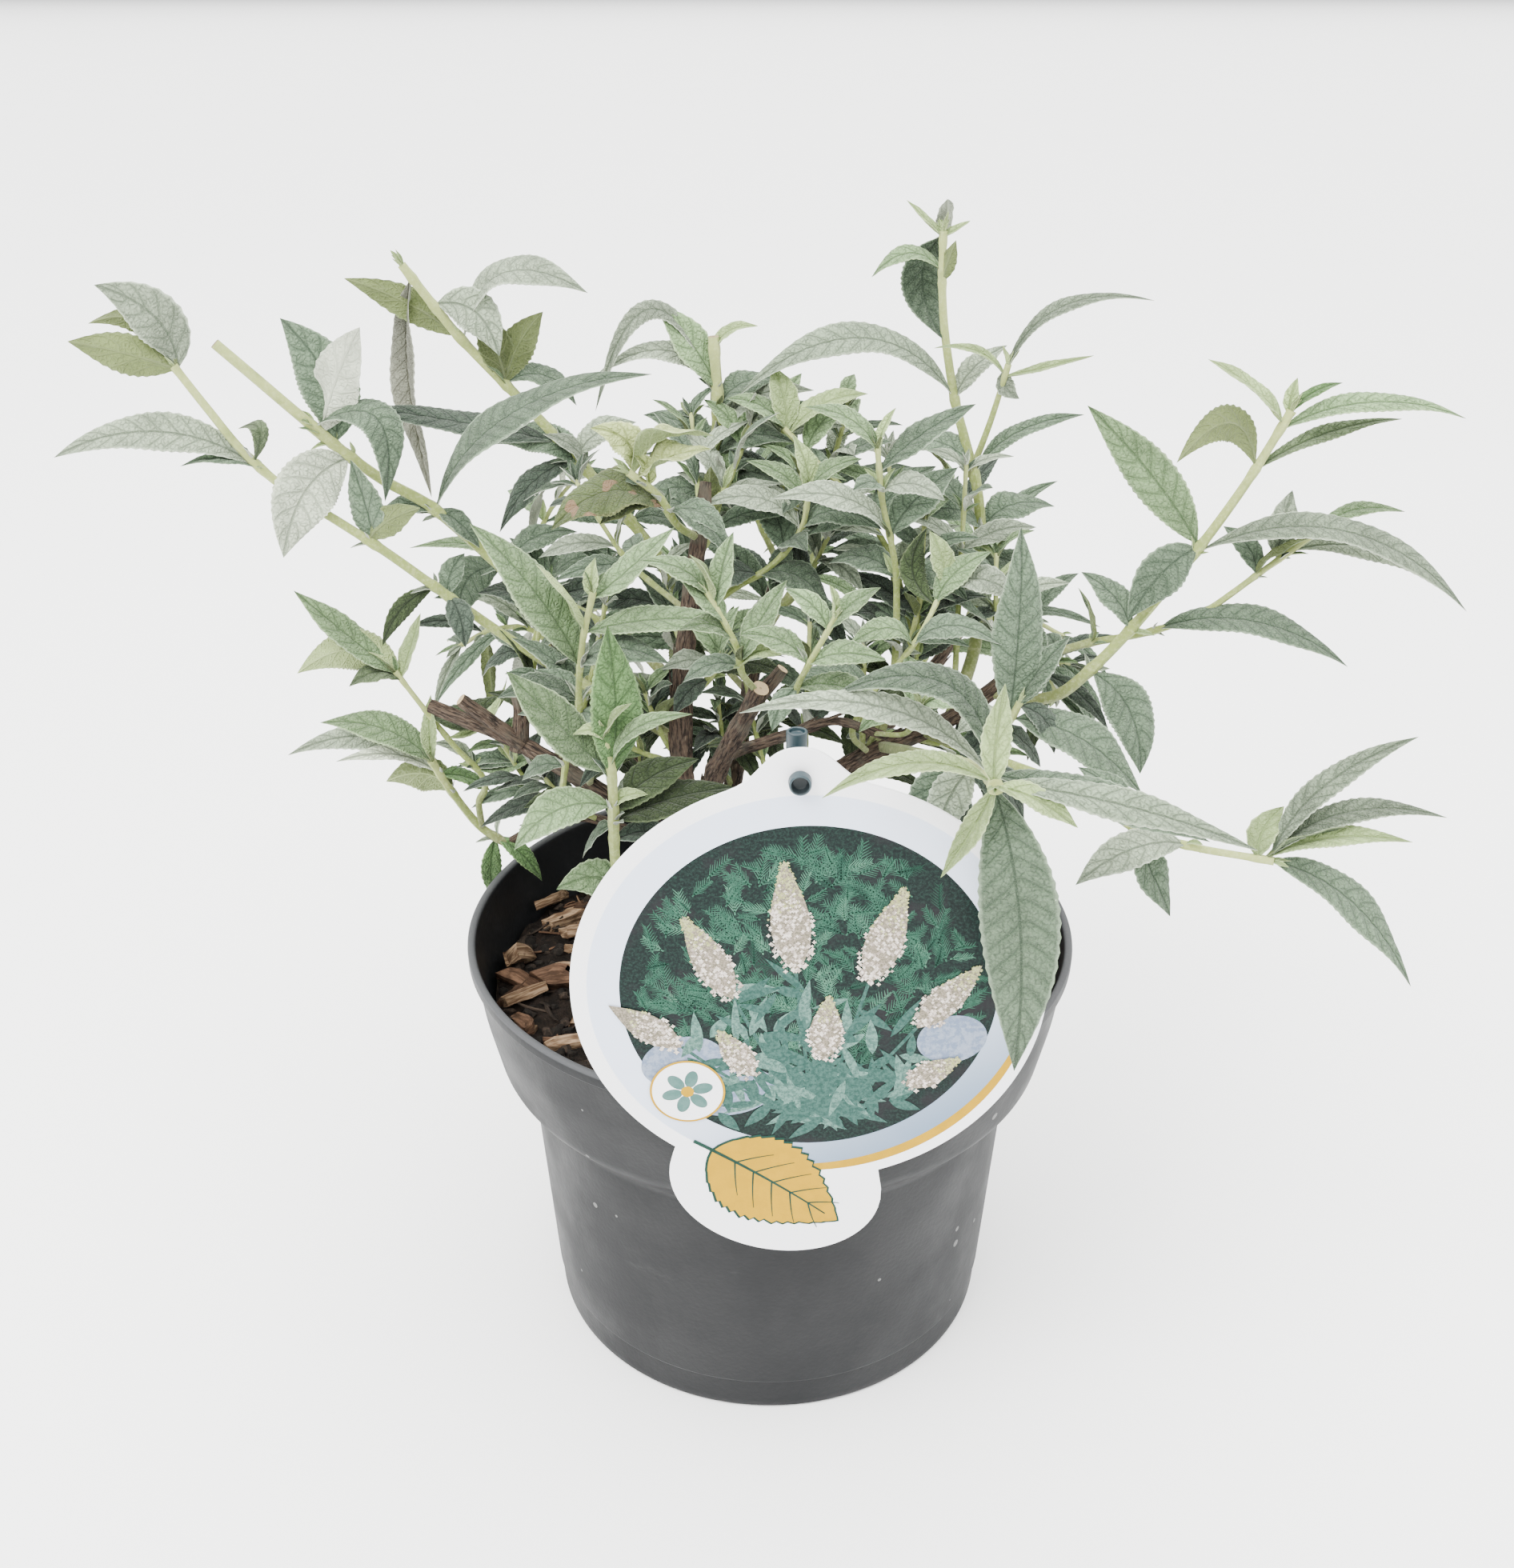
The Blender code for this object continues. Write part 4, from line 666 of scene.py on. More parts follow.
def drained(pot):
    """Cuts the drain holes through the pot's base and applies the cut."""
    cutters = bpy.data.collections.new("Drain cutters")
    for k in range(DRAIN_HOLES):
        a = math.radians(DRAIN_TURN + 360 / DRAIN_HOLES * k)
        at = Vector((math.cos(a), math.sin(a), 0)) * DRAIN_RING * MM
        bpy.ops.mesh.primitive_cylinder_add(
            vertices=DRAIN_SIDES, radius=DRAIN_RADIUS * MM, depth=4 * BASE_THICK * MM, location=at
        )
        cutter = bpy.context.object
        for home in cutter.users_collection:
            home.objects.unlink(cutter)
        cutters.objects.link(cutter)
    cut = pot.modifiers.new("Drains", "BOOLEAN")
    cut.operation, cut.solver = "DIFFERENCE", "EXACT"
    cut.operand_type, cut.collection = "COLLECTION", cutters
    bpy.context.view_layer.update()
    graph = bpy.context.evaluated_depsgraph_get()
    mesh = bpy.data.meshes.new_from_object(pot.evaluated_get(graph))
    pot.modifiers.clear()
    pot.data = mesh
    for cutter in list(cutters.objects):
        bpy.data.objects.remove(cutter, do_unlink=True)
    bpy.data.collections.remove(cutters)


pot_profile = rounded([
    (0.0, 0.0, 0), (FOOT_RADIUS - 7, 0.0, 1.0), (FOOT_RADIUS - 6, 0.9, 0.8),
    (FOOT_RADIUS - 2.6, 0.9, 0.6), (FOOT_RADIUS - 1.9, 0.0, 0.6), (FOOT_RADIUS - 0.4, 0.0, 1.2),
    (FOOT_RADIUS, 2.0, 1.2), (FOOT_STEP[0] - 0.75, FOOT_STEP[1] - 0.6, 0.5),
    (FOOT_STEP[0], FOOT_STEP[1], 0.5), (KINK[0] - 0.9, KINK[1] - 2.6, 1.0),
    (KINK[0] + 0.1, KINK[1] - 0.6, 1.0), (*COLLAR_FOOT, 2.6),
    (RIM_RADIUS - 3.4, POT_HEIGHT - 20.0, 4.0), (RIM_RADIUS - 1.6, POT_HEIGHT - 4.4, 0.8),
    (RIM_RADIUS + 0.1, POT_HEIGHT - 3.9, 0.5), (RIM_RADIUS + 0.2, POT_HEIGHT - 0.1, 1.1),
    (RIM_RADIUS - 1.9, POT_HEIGHT, 0.9), (RIM_RADIUS - 2.5, POT_HEIGHT - 1.4, 0.7),
    (RIM_RADIUS - 3.4 - WALL, POT_HEIGHT - 20.0, 4.0),
    (COLLAR_FOOT[0] - WALL, COLLAR_FOOT[1] + 0.6, 2.0),
    (KINK[0] - WALL, KINK[1], 2.0), (FOOT_RADIUS - 3.0, BASE_THICK, 2.5), (0.0, BASE_THICK, 0),
])
rim_row = int(np.argmax(pot_profile[:, 1] >= POT_HEIGHT - 0.001))
# The inside faces take a darker copy of the plastic: painted shade inside the pot.
inner = np.arange(len(pot_profile) - 3) > rim_row + 6
shell = Pile()
turned(shell, pot_profile, POT_SIDES, inner.astype(int))
pot = shell.make(
    "pot_moulded",
    [
        pot_finish("Pot plastic", (0.0225, 0.0243, 0.0268), 0.8),
        # painted shade: the same plastic made darker for the pot's inside
        pot_finish("Pot plastic inside painted shade", (0.0105, 0.011, 0.012), 0.35),
    ],
    "pot_plastic", ["pot"], sharp=40,
)
drained(pot)

# ---------------------------------------------------------------- root ball

SOIL_TOP = 115.0
SOIL_GAP = 0.5
SOIL_SIDES, SOIL_RINGS = 220, 62
CHIPS = [  # big bark chips: x, y, length, width, thickness, heading, tilt, tone
    (-82, 9, 14, 9, 6, 80, 38, 0), (-76, 45, 19, 5, 4, 66, 14, 0), (-70, 34, 17, 7, 5, 54, 10, 0),
    (-65, 25, 10, 7, 4, 30, 6, 0), (-80, -5, 14, 5, 4, -27, 8, 1), (-78, -13, 14, 5, 4, 30, -6, 0),
    (-68, -6, 11, 8, 5, 10, 5, 1), (-66, 3, 12, 4, 3, 20, 8, 0), (-76, -27, 12, 5, 3, 120, 12, 1),
    (-60, -36, 18, 5, 3, 25, 6, 0), (-56, 14, 20, 8, 4, 40, 8, 1), (-57, -20, 15, 6, 3, 70, -8, 0),
    (36, 40, 22, 8, 4, 70, 10, 1), (58, -46, 20, 6, 3, 120, 10, 0), (74, 20, 16, 6, 4, 80, 10, 0),
    (20, 68, 18, 6, 4, 15, 8, 1),
]
SETTLED, DOME_FALL = 1.4, 1.6  # how far the peat lies under its top, and falls to its edge
CLOD_RISE, CRUMB_RISE, HEAP_RISE = 4.0, 2.2, 2.6
SOIL_EDGE = 88.0  # radius of the top where it meets the wall
INNER_WALL, STREWN_RADIUS = 88.3, 86.0  # how far out the bits lie, at most and as strewn


def soil_height(x, y):
    """Height of the peat: a flat dome with clods, by two sizes of smooth noise, and a
    low heap of bark by the wall on the left."""
    r = np.hypot(x, y)
    clods = ripple(x / 9 + 50, y / 9 + 50, 400, 3) - 0.5
    crumbs = ripple(x / 3.2 + 90, y / 3.2 + 90, 400, 4) - 0.5
    heap = HEAP_RISE * np.exp(-(((x + 74) / 30) ** 2) - ((y - 6) / 45) ** 2)
    flat = SOIL_TOP - SETTLED - DOME_FALL * (r / SOIL_EDGE) ** 4
    return flat + CLOD_RISE * clods + CRUMB_RISE * crumbs + heap


top = np.linspace(SOIL_EDGE, 1.0, SOIL_RINGS)
soil_profile = np.vstack([
    [(0, BASE_THICK + SOIL_GAP), (FOOT_RADIUS - 4.2, BASE_THICK + SOIL_GAP)],
    [(KINK[0] - WALL - SOIL_GAP, KINK[1] - 1), (COLLAR_FOOT[0] - WALL - SOIL_GAP, 98.6)],
    [(88.4, 108.0)], np.stack([top, top * 0], 1), [(0, 0)],
])
a = np.linspace(0, 2 * math.pi, SOIL_SIDES, endpoint=False)
rise = np.zeros((len(soil_profile) - 2, SOIL_SIDES))
rise[4:] = soil_height(top[:, None] * np.cos(a), -top[:, None] * np.sin(a))
soil_profile[-1, 1] = soil_height(np.zeros(1), np.zeros(1))[0]
peat = Pile()
turned(peat, soil_profile, SOIL_SIDES, rise=rise)
rng = np.random.default_rng(SEED)


def within_wall(points):
    """The points, with those beyond the pot's inside drawn back in to it."""
    out = np.hypot(points[:, 0], points[:, 1])
    points[:, :2] *= np.minimum(1, INNER_WALL / np.maximum(out, 1))[:, None]
    return points


def splinter(pile, at, size, heading, tilt, finish, shade, rough=0.25):
    """A split chip: a rounded box section carried along its length, each corner and each
    station pushed in or out at random, with snapped, slanted ends."""
    length, width, thick = size
    rows = 6 if length > 8 else 4
    a = np.radians([45, 20, -20, -45, -135, -160, 160, 135])  # runs clockwise
    across = np.sign(np.cos(a)) * (np.abs(np.cos(a)) ** 0.3) * width / 2
    up = np.sign(np.sin(a)) * (np.abs(np.sin(a)) ** 0.6) * thick / 2
    s = np.linspace(-0.5, 0.5, rows)[:, None]
    jag = 1 + rng.uniform(-rough, rough, (rows, 8))
    slant = rng.uniform(-0.9, 0.9) * (np.abs(s) > 0.45)
    x = s * length + slant * across
    narrow = 1 - 0.35 * np.abs(2 * s) ** 3 * rng.uniform(0.2, 1.4)
    bend = rng.uniform(-0.1, 0.1) * length * (2 * s) ** 2
    points = np.stack([x, across * jag * narrow + bend, up * jag + 0 * x], -1).reshape(-1, 3)
    ends = points.reshape(rows, 8, 3)[[0, -1]].mean(1)
    points = np.vstack([points, ends])
    lay = Matrix.Rotation(math.radians(heading), 3, "Z") @ Matrix.Rotation(
        math.radians(tilt), 3, "Y"
    ) @ Matrix.Rotation(rng.uniform(-0.5, 0.5), 3, "X")
    points = within_wall(points @ np.array(lay).T + at)
    faces, places = grid_faces(rows, 8)
    where = np.stack([places[..., 0] * (width + thick) / 4 + shade * 9, places[..., 1] * length / rows], -1)
    pile.add(points, faces, where, finish, shade)
    pile.add(points, *fans(rows, 8, (width / 3, width / 3)), finish, more=True)


def crumb(pile, at, size, finish, shade):
    """A lump: a coarse ball of rings, each point pushed in or out at random."""
    rings, sides = 3, 6
    a = np.linspace(0, 2 * math.pi, sides, endpoint=False)
    b = np.linspace(-0.9, 0.9, rings)[:, None]
    r = 1 + rng.uniform(-0.3, 0.3, (rings, sides))
    ball = np.stack([np.cos(b) * np.cos(a), -np.cos(b) * np.sin(a), np.sin(b) + 0 * a], -1)
    points = (ball * r[..., None] * np.multiply(size, (1, 0.8, 0.6))).reshape(-1, 3)
    points = np.vstack([points, [0, 0, -size * 0.6], [0, 0, size * 0.6]])
    lay = np.array(Matrix.Rotation(rng.uniform(0, 6.28), 3, "Z"))
    points = within_wall(points @ lay.T + at)
    faces, places = grid_faces(rings, sides)
    pile.add(points, faces, places * size / 3.0, finish, shade)
    pile.add(points, *fans(rings, sides, (size / 2, size / 2)), finish, more=True)


def scatter(count):
    """Even random places on the root ball's top, as pairs of x, y."""
    r, a = STREWN_RADIUS * np.sqrt(rng.random(count)), rng.uniform(0, 2 * math.pi, count)
    return zip(r * np.cos(a), r * np.sin(a))


BARK_BITS, FIBRES, CRUMBS = 120, 520, 1100
mulch = Pile()
for x, y, length, width, thick, heading, tilt, tone in CHIPS:
    at = (x, y, soil_height(x, y) + thick * 0.5)
    splinter(mulch, at, (length, width, thick), heading, tilt, tone, rng.uniform(-1, -0.3), 0.14)
for x, y in scatter(BARK_BITS):
    size = rng.uniform(6, 17), rng.uniform(2.2, 6), rng.uniform(1.2, 3)
    at = (x, y, soil_height(x, y) + 0.5)
    tone = int(rng.choice([0, 1, 1, 2, 2]))
    splinter(mulch, at, size, rng.uniform(0, 180), rng.uniform(-18, 18), tone, rng.uniform(-1, 1))
for x, y in scatter(FIBRES):
    size = rng.uniform(4, 14), rng.uniform(0.5, 1.4), rng.uniform(0.4, 0.9)
    at = (x, y, soil_height(x, y) + rng.uniform(0, 1.6))
    tone = int(rng.choice([0, 1, 2, 2, 2]))
    splinter(mulch, at, size, rng.uniform(0, 180), rng.uniform(-25, 25), tone, rng.uniform(-1, 1))
for x, y in scatter(CRUMBS):
    size = rng.uniform(0.7, 2.6)
    at = (x, y, soil_height(x, y) + size * 0.2)
    crumb(mulch, at, size, int(rng.choice([2, 3, 3, 3])), rng.uniform(-1, 1))
peat.make("root_ball_peat", [earth_finish()], "soil", ["soil"])
mulch.make(
    "root_ball_chips",
    [
        wood_bits("Chip pale", (0.30, 0.205, 0.125), (0.085, 0.048, 0.026)),
        wood_bits("Chip red-brown", (0.125, 0.070, 0.042), (0.034, 0.018, 0.010)),
        wood_bits("Chip dark", (0.045, 0.032, 0.023), (0.010, 0.007, 0.005)),
        wood_bits("Crumb", (0.016, 0.012, 0.009), (0.005, 0.004, 0.003)),
    ],
    "soil", ["soil"],
)

# ---------------------------------------------------------------- label and peg

TAG_CENTRE = (9.0, -100.4, 177.0)
TAG_RADIUS, TAG_THICK, TAG_TAB, TAG_HOLE, TAG_TURN = 60.0, 0.9, 8.0, 2.2, 2.8
LOBE = (-11.0, -61.0, 29.0, 23.0, -22.0)  # centre x, z, half its length and width, lean
HOLE_HIGH = 60.0  # the hole's middle above the card's
OUTLINE_STEPS, CARD_EASE = 360, 0.12
STAKE_RADIUS, STAKE_TOP, STAKE_AT = 2.0, 243.0, (5.6, -86.8)
FRONT = TAG_THICK / 2
tag_lay = (
    Matrix.Translation(TAG_CENTRE)
    @ Matrix.Rotation(math.radians(-TAG_TURN), 4, "Y")
    @ Matrix.Rotation(math.radians(90), 4, "X")
)


def tag_outline():
    """A disc with a soft tab at its top and, low on its left, an elliptical lobe: the
    farther of the disc's reach and the ray's way out of the ellipse."""
    th = 2 * math.pi * np.arange(OUTLINE_STEPS) / OUTLINE_STEPS
    off = np.abs(np.degrees(np.arctan2(np.cos(th), np.sin(th))))
    reach = TAG_RADIUS + TAG_TAB * np.exp(-((off / 9.5) ** 2.6))
    cx, cz, half_long, half_short, lean = LOBE
    c, s = math.cos(math.radians(lean)), math.sin(math.radians(lean))
    ux, uz = np.cos(th) * c + np.sin(th) * s, -np.cos(th) * s + np.sin(th) * c
    px, pz = cx * c + cz * s, -cx * s + cz * c
    k2 = (ux / half_long) ** 2 + (uz / half_short) ** 2
    k1 = ux * px / half_long**2 + uz * pz / half_short**2
    k0 = (px / half_long) ** 2 + (pz / half_short) ** 2 - 1
    inside = (k1 * k1 > k2 * k0) & (k1 > 0)
    far = (k1 + np.sqrt(np.maximum(k1 * k1 - k2 * k0, 0))) / k2
    reach = np.where(inside, np.maximum(reach, far), reach)
    return np.stack([reach * np.cos(th), reach * np.sin(th)], 1)


def ring_points(x, y, radius, count=32, squash=1.0, lean=0.0):
    """Points round an ellipse about (x, y), leaning by that many degrees."""
    a = np.linspace(0, 2 * math.pi, count, endpoint=False)
    c, s = math.cos(math.radians(lean)), math.sin(math.radians(lean))
    p, q = radius * np.cos(a), radius * squash * np.sin(a)
    return np.stack([x + p * c - q * s, y + p * s + q * c], 1)


def card_blank():
    """The card: the outline and its hole as a filled flat curve with eased edges."""
    flat = bpy.data.curves.new("label_card", "CURVE")
    flat.dimensions, flat.fill_mode = "2D", "BOTH"
    flat.extrude, flat.bevel_depth = (FRONT - CARD_EASE) * MM, CARD_EASE * MM
    flat.bevel_resolution, flat.offset = 2, -CARD_EASE * MM
    for shape in (tag_outline(), ring_points(0, HOLE_HIGH, TAG_HOLE, 40)):
        spline = flat.splines.new("POLY")
        spline.points.add(len(shape) - 1)
        spline.points.foreach_set(
            "co", np.pad(shape * MM, ((0, 0), (0, 2)), constant_values=((0, 0), (0, 0))).ravel()
        )
        for point in spline.points:
            point.co[3] = 1.0
        spline.use_cyclic_u = True
    guide = bpy.data.objects.new("label_guide", flat)
    scene.collection.objects.link(guide)
    bpy.context.view_layer.update()
    mesh = bpy.data.meshes.new_from_object(
        guide.evaluated_get(bpy.context.evaluated_depsgraph_get())
    )
    bpy.data.objects.remove(guide, do_unlink=True)
    spots = np.empty(len(mesh.vertices) * 3, np.float32)
    mesh.vertices.foreach_get("co", spots)
    corners = np.empty(len(mesh.loops), np.int32)
    mesh.loops.foreach_get("vertex_index", corners)
    for old in list(mesh.uv_layers):
        mesh.uv_layers.remove(old)
    cloth = mesh.uv_layers.new(name="cloth")
    cloth.uv.foreach_set("vector", (spots.reshape(-1, 3)[corners, :2] / MM).ravel())
    in_metres = Matrix.Scale(MM, 4) @ tag_lay @ Matrix.Scale(1 / MM, 4)
    mesh.transform(in_metres)
    mesh.materials.clear()
    mesh.materials.append(card_finish())
    mesh.shade_smooth()
    mesh.set_sharp_from_angle(angle=math.radians(35))
    card = bpy.data.objects.new("label_card", mesh)
    scene.collection.objects.link(card)
    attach(card, BODY)
    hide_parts("tag")


def plate(pile, shape, low, high, finish=0):
    """A thin printed patch: a flat star-shaped outline, its front and back fanned from
    their middles and joined by a rim."""
    n = len(shape)
    middle = shape.mean(0)
    clockwise = shape[::-1]  # rows then run from back to front with the rim facing out
    rows = [np.column_stack([clockwise, np.full(n, z)]) for z in (low, high)]
    points = np.vstack([*rows, [*middle, low], [*middle, high]])
    faces, places = grid_faces(2, n)
    where = points[faces][..., :2]
    pile.add(laid(points, tag_lay), faces, where, finish)
    fan, _ = fans(2, n, (1, 1))
    pile.add(points, fan, points[fan][..., :2], finish, more=True)


def stroke(pile, path, widths, low, high, finish=0):
    """A flat printed stroke: a four-cornered section whose width follows the path."""
    path = np.asarray(path, float)
    ahead = unit(np.gradient(path, axis=0))
    side = np.stack([-ahead[:, 1], ahead[:, 0]], 1) * np.asarray(widths, float)[:, None] / 2
    left, right = path + side, path - side
    rows = len(path)

    def col(xy, z):
        return np.column_stack([xy, np.full(rows, z)])

    ring = np.stack([col(left, high), col(left, low), col(right, low), col(right, high)], 1)
    ring = ring[:, ::-1]
    points = np.vstack([ring.reshape(-1, 3), col(path, (low + high) / 2)[[0, -1]]])
    faces, _ = grid_faces(rows, 4)
    pile.add(laid(points, tag_lay), faces, points[faces][..., :2], finish)
    fan, _ = fans(rows, 4, (1, 1))
    pile.add(points, fan, points[fan][..., :2], finish, more=True)


def spun(lean):
    """The matrix that turns rows of x, y by `lean` degrees."""
    c, s = math.cos(math.radians(lean)), math.sin(math.radians(lean))
    return np.array([[c, s], [-s, c]])


def lance(x, y, length, width, lean):
    """Outline of a small lance-shaped leaf from (x, y), leaning that way in degrees."""
    s = np.linspace(0, 1, 9)
    half = width / 2 * np.sin(math.pi * s**0.8)
    edge = np.vstack([np.stack([s * length, half], 1), np.stack([s * length, -half], 1)[-2:0:-1]])
    return edge @ spun(lean) + [x, y]


PRINT = FRONT + 0.01  # the first layer of ink; each later one is a little higher
LAYER = 0.012
PICTURE_RADIUS = 47.6
SPIKES = [  # flower spikes in the picture: foot x, y, length, lean from upright, width
    (-19, -1, 27, 24, 9.5), (-3, 6, 32, 3, 10.5), (15, 2, 29, -19, 10), (27, -12, 24, -42, 9),
    (-33, -15, 22, 52, 8.5), (3, -21, 20, -6, 9), (-15, -25, 17, 30, 8), (24, -30, 16, -60, 8),
]
card_blank()
picture = Pile()
plate(picture, ring_points(0, 0, PICTURE_RADIUS, 160), PRINT, PRINT + LAYER, 0)
draw = np.random.default_rng(SEED + 1)
z = PRINT + LAYER * 1.2


def sprig(x, y, length, lean, z, tone):
    """A feathery sprig: a rib with short side strokes that lean forward off it."""
    way = np.array([math.sin(math.radians(lean)), math.cos(math.radians(lean))])
    off = np.array([way[1], -way[0]])
    s = np.linspace(0, 1, 4)[:, None]
    rib = np.array([x, y]) + way * s * length + off * s**2 * draw.uniform(-1.6, 1.6)
    stroke(picture, rib, 0.42 - 0.3 * s[:, 0], z - LAYER, z, tone)
    for k in range(8):
        foot, _ = along(rib, (k + 1) / 9)
        for side in (-1, 1):
            slant = way * 0.85 + off * side * 0.6
            tip = foot + slant * length * (0.42 - 0.03 * k) * draw.uniform(0.7, 1.2)
            stroke(picture, np.stack([foot, tip]), (0.32, 0.1), z - LAYER, z, tone)


HEDGE_SPRIGS, FLOWER_LEAVES = 420, 190
for k in range(HEDGE_SPRIGS):  # the hedge behind the flowers, lightest low in front of the dark
    r, a = (PICTURE_RADIUS - 6) * math.sqrt(draw.random()), draw.uniform(0, 2 * math.pi)
    x, y = r * math.cos(a), r * math.sin(a)
    length = draw.uniform(5, 9)
    lean = draw.uniform(-75, 75) + x * 0.6
    ahead = np.hypot(x + length * math.sin(math.radians(lean)), y + length * math.cos(math.radians(lean)))
    if ahead < PICTURE_RADIUS - 2 and y > -22 - 8 * math.cos(x / 9):
        z += LAYER * 0.015
        sprig(x, y, length, lean, z, int(draw.choice([6, 7, 7, 7, 8])))
for x, y, size, squash in ((-33, -20, 11, 0.72), (-21, -30, 12, 0.6), (36, -16, 9, 0.8)):
    z += LAYER * 0.2
    plate(picture, ring_points(x, y, size, 40, squash, 12), z - LAYER, z, 4)
for x, y, length, lean, width in SPIKES:  # each spike's stalk, bending in to the middle
    s = np.linspace(0, 1, 8)[:, None]
    foot, low = np.array([x, y]), np.array([x * 0.15, -38.0])
    path = foot * (1 - s) ** 2 + np.array([x * 0.5, (y - 38) / 2 - 4]) * 2 * s * (1 - s) + low * s * s
    z += LAYER * 0.1
    stroke(picture, path, np.full(8, 0.9), z - LAYER, z, 1)
for k in range(FLOWER_LEAVES):  # leaves round the feet of the spikes
    spike = SPIKES[k % len(SPIKES)]
    share = draw.random() ** 0.8
    x = spike[0] * (1 - share) + spike[0] * 0.15 * share + draw.normal(0, 4)
    y = spike[1] * (1 - share) - 38 * share + draw.normal(0, 3)
    blade_at = lance(x, y, draw.uniform(7, 15), draw.uniform(1.8, 3.4), draw.uniform(0, 360))
    if np.hypot(*blade_at.T).max() < PICTURE_RADIUS - 0.4:
        z += LAYER * 0.05
        plate(picture, blade_at, z - LAYER, z, int(draw.choice([1, 1, 2])))
for x, y, length, lean, width in SPIKES:
    up = np.array([-math.sin(math.radians(lean)), math.cos(math.radians(lean))])
    side = np.array([up[1], -up[0]])
    cone = lance(x, y, length * 1.02, width * 0.95, 90 + lean)
    z += LAYER * 0.1
    plate(picture, cone, z - LAYER, z, 9)
    for k in range(int(length * width * 1.3)):
        s = draw.random() ** 0.75
        if s < 0.45:
            wide = width / 2 * math.sin(math.pi * (0.12 + 0.88 * s)) ** 0.8
        else:
            wide = width / 2 * (1.12 - s) / 0.67
        spot = np.array([x, y]) + up * s * length + side * draw.uniform(-1.12, 1.12) * wide
        if np.hypot(*spot) > PICTURE_RADIUS - 1.5:
            continue
        z += LAYER * 0.008
        size = draw.uniform(0.38, 0.78) * (1.12 - 0.6 * s)
        bud = s > draw.uniform(0.5, 0.85)
        petals = ring_points(*spot, size, 8) - spot
        petals[1::2] *= 0.55
        plate(picture, petals + spot, z - LAYER, z, 5 if bud else int(draw.choice([3, 3, 10])))
picture.make(
    "label_picture",
    [
        print_ground(),
        ink("Ink leaf", (0.016, 0.052, 0.042), (0.040, 0.095, 0.078), 900),
        ink("Ink leaf pale", (0.105, 0.195, 0.160), (0.040, 0.090, 0.075), 900),
        ink("Ink petal", (0.68, 0.62, 0.56), (0.44, 0.37, 0.31), 1500),
        ink("Ink stone", (0.13, 0.17, 0.25), (0.22, 0.26, 0.33), 700),
        ink("Ink bud", (0.24, 0.25, 0.10), (0.38, 0.38, 0.20), 1500),
        ink("Ink sprig dim", (0.008, 0.034, 0.022), (0.012, 0.045, 0.030), 900),
        ink("Ink sprig", (0.018, 0.066, 0.042), (0.030, 0.092, 0.060), 900),
        ink("Ink sprig pale", (0.060, 0.150, 0.098), (0.036, 0.105, 0.070), 900),
        ink("Ink spike", (0.11, 0.10, 0.07), (0.26, 0.22, 0.17), 1800),
        ink("Ink petal in shade", (0.42, 0.36, 0.31), (0.24, 0.20, 0.17), 1500),
    ],
    "tag_card", ["tag"],
)

BAND_RADIUS = 56.9  # outer edge of the coloured band, which swells and runs out
trim = Pile()
a = np.radians(np.linspace(-118, -6, 60))
swell = np.sin(np.linspace(0, math.pi, 60)) ** 0.55 * 2.7 + 0.05
band = np.stack([np.cos(a), np.sin(a)], 1) * (BAND_RADIUS - swell[:, None] / 2)
stroke(trim, band, swell, PRINT, PRINT + 0.02, 0)
BADGE = (-32.5, -29.0)  # the middle of the round badge
plate(trim, ring_points(*BADGE, 9.8, 64), PRINT + 0.40, PRINT + 0.42, 0)
plate(trim, ring_points(*BADGE, 9.2, 64), PRINT + 0.42, PRINT + 0.44, 1)
for k in range(6):  # a plain six-petalled flower
    petal = ring_points(4.1, 0, 2.7, 20, 0.62)
    plate(trim, petal @ spun(60 * k + 12) + BADGE, PRINT + 0.44, PRINT + 0.46 + 0.002 * k, 3)
plate(trim, ring_points(*BADGE, 1.7, 24), PRINT + 0.46, PRINT + 0.49, 0)


def simple_leaf(grown, teeth):
    """A plain pointed oval leaf: half width = sin(pi s^0.72), with shallow teeth."""
    s = np.linspace(0, 1, 66)
    half = (13.0 + grown) * np.sin(math.pi * s**0.72) ** 0.9
    half = half + teeth * ((s * 15) % 1) * np.sin(math.pi * s)
    x = -20 - grown + s * (41 + 2 * grown)
    edge = np.vstack([np.stack([x, half], 1), np.stack([x, -half], 1)[-2:0:-1]])
    return edge @ LEAF_TURN + LEAF_AT


LEAF_AT, LEAF_TURN = (-11.5, -61.5), spun(-38)
plate(trim, simple_leaf(0.7, 1.7), PRINT + 0.10, PRINT + 0.12, 2)
plate(trim, simple_leaf(0.0, 1.6), PRINT + 0.12, PRINT + 0.14, 0)
s = np.linspace(0, 1, 12)


def vein_line(a, b, bow):
    """A line from a to b on the leaf, bowed out by s (1 - s) of `bow`."""
    line = np.outer(1 - s, a) + np.outer(s, b) + np.outer(s * (1 - s), bow)
    return line @ LEAF_TURN + LEAF_AT


stroke(trim, vein_line((-26, 0), (17, 0), (0, 3)), 1.1 - 0.7 * s, PRINT + 0.14, PRINT + 0.16, 2)
for k in range(5):
    x = -13 + 6 * k
    for up in (1, -1):
        tip = (x + 7, up * (9.5 - 0.75 * abs(k - 1.2) ** 1.7))
        stroke(trim, vein_line((x, 0.4), tip, (0, 1.5 * up)), 0.5 - 0.3 * s, PRINT + 0.15, PRINT + 0.165, 2)
trim.make(
    "label_print",
    [
        ink("Ink yellow", (0.37, 0.21, 0.0), (0.41, 0.232, 0.0), 200),
        ink("Ink white", (0.82, 0.82, 0.84), (0.80, 0.80, 0.82), 200),
        ink("Ink dark green", (0.005, 0.027, 0.018), (0.008, 0.036, 0.025), 300),
        ink("Ink blue-green", (0.055, 0.125, 0.110), (0.075, 0.150, 0.135), 300),
    ],
    "tag_card", ["tag"],
)

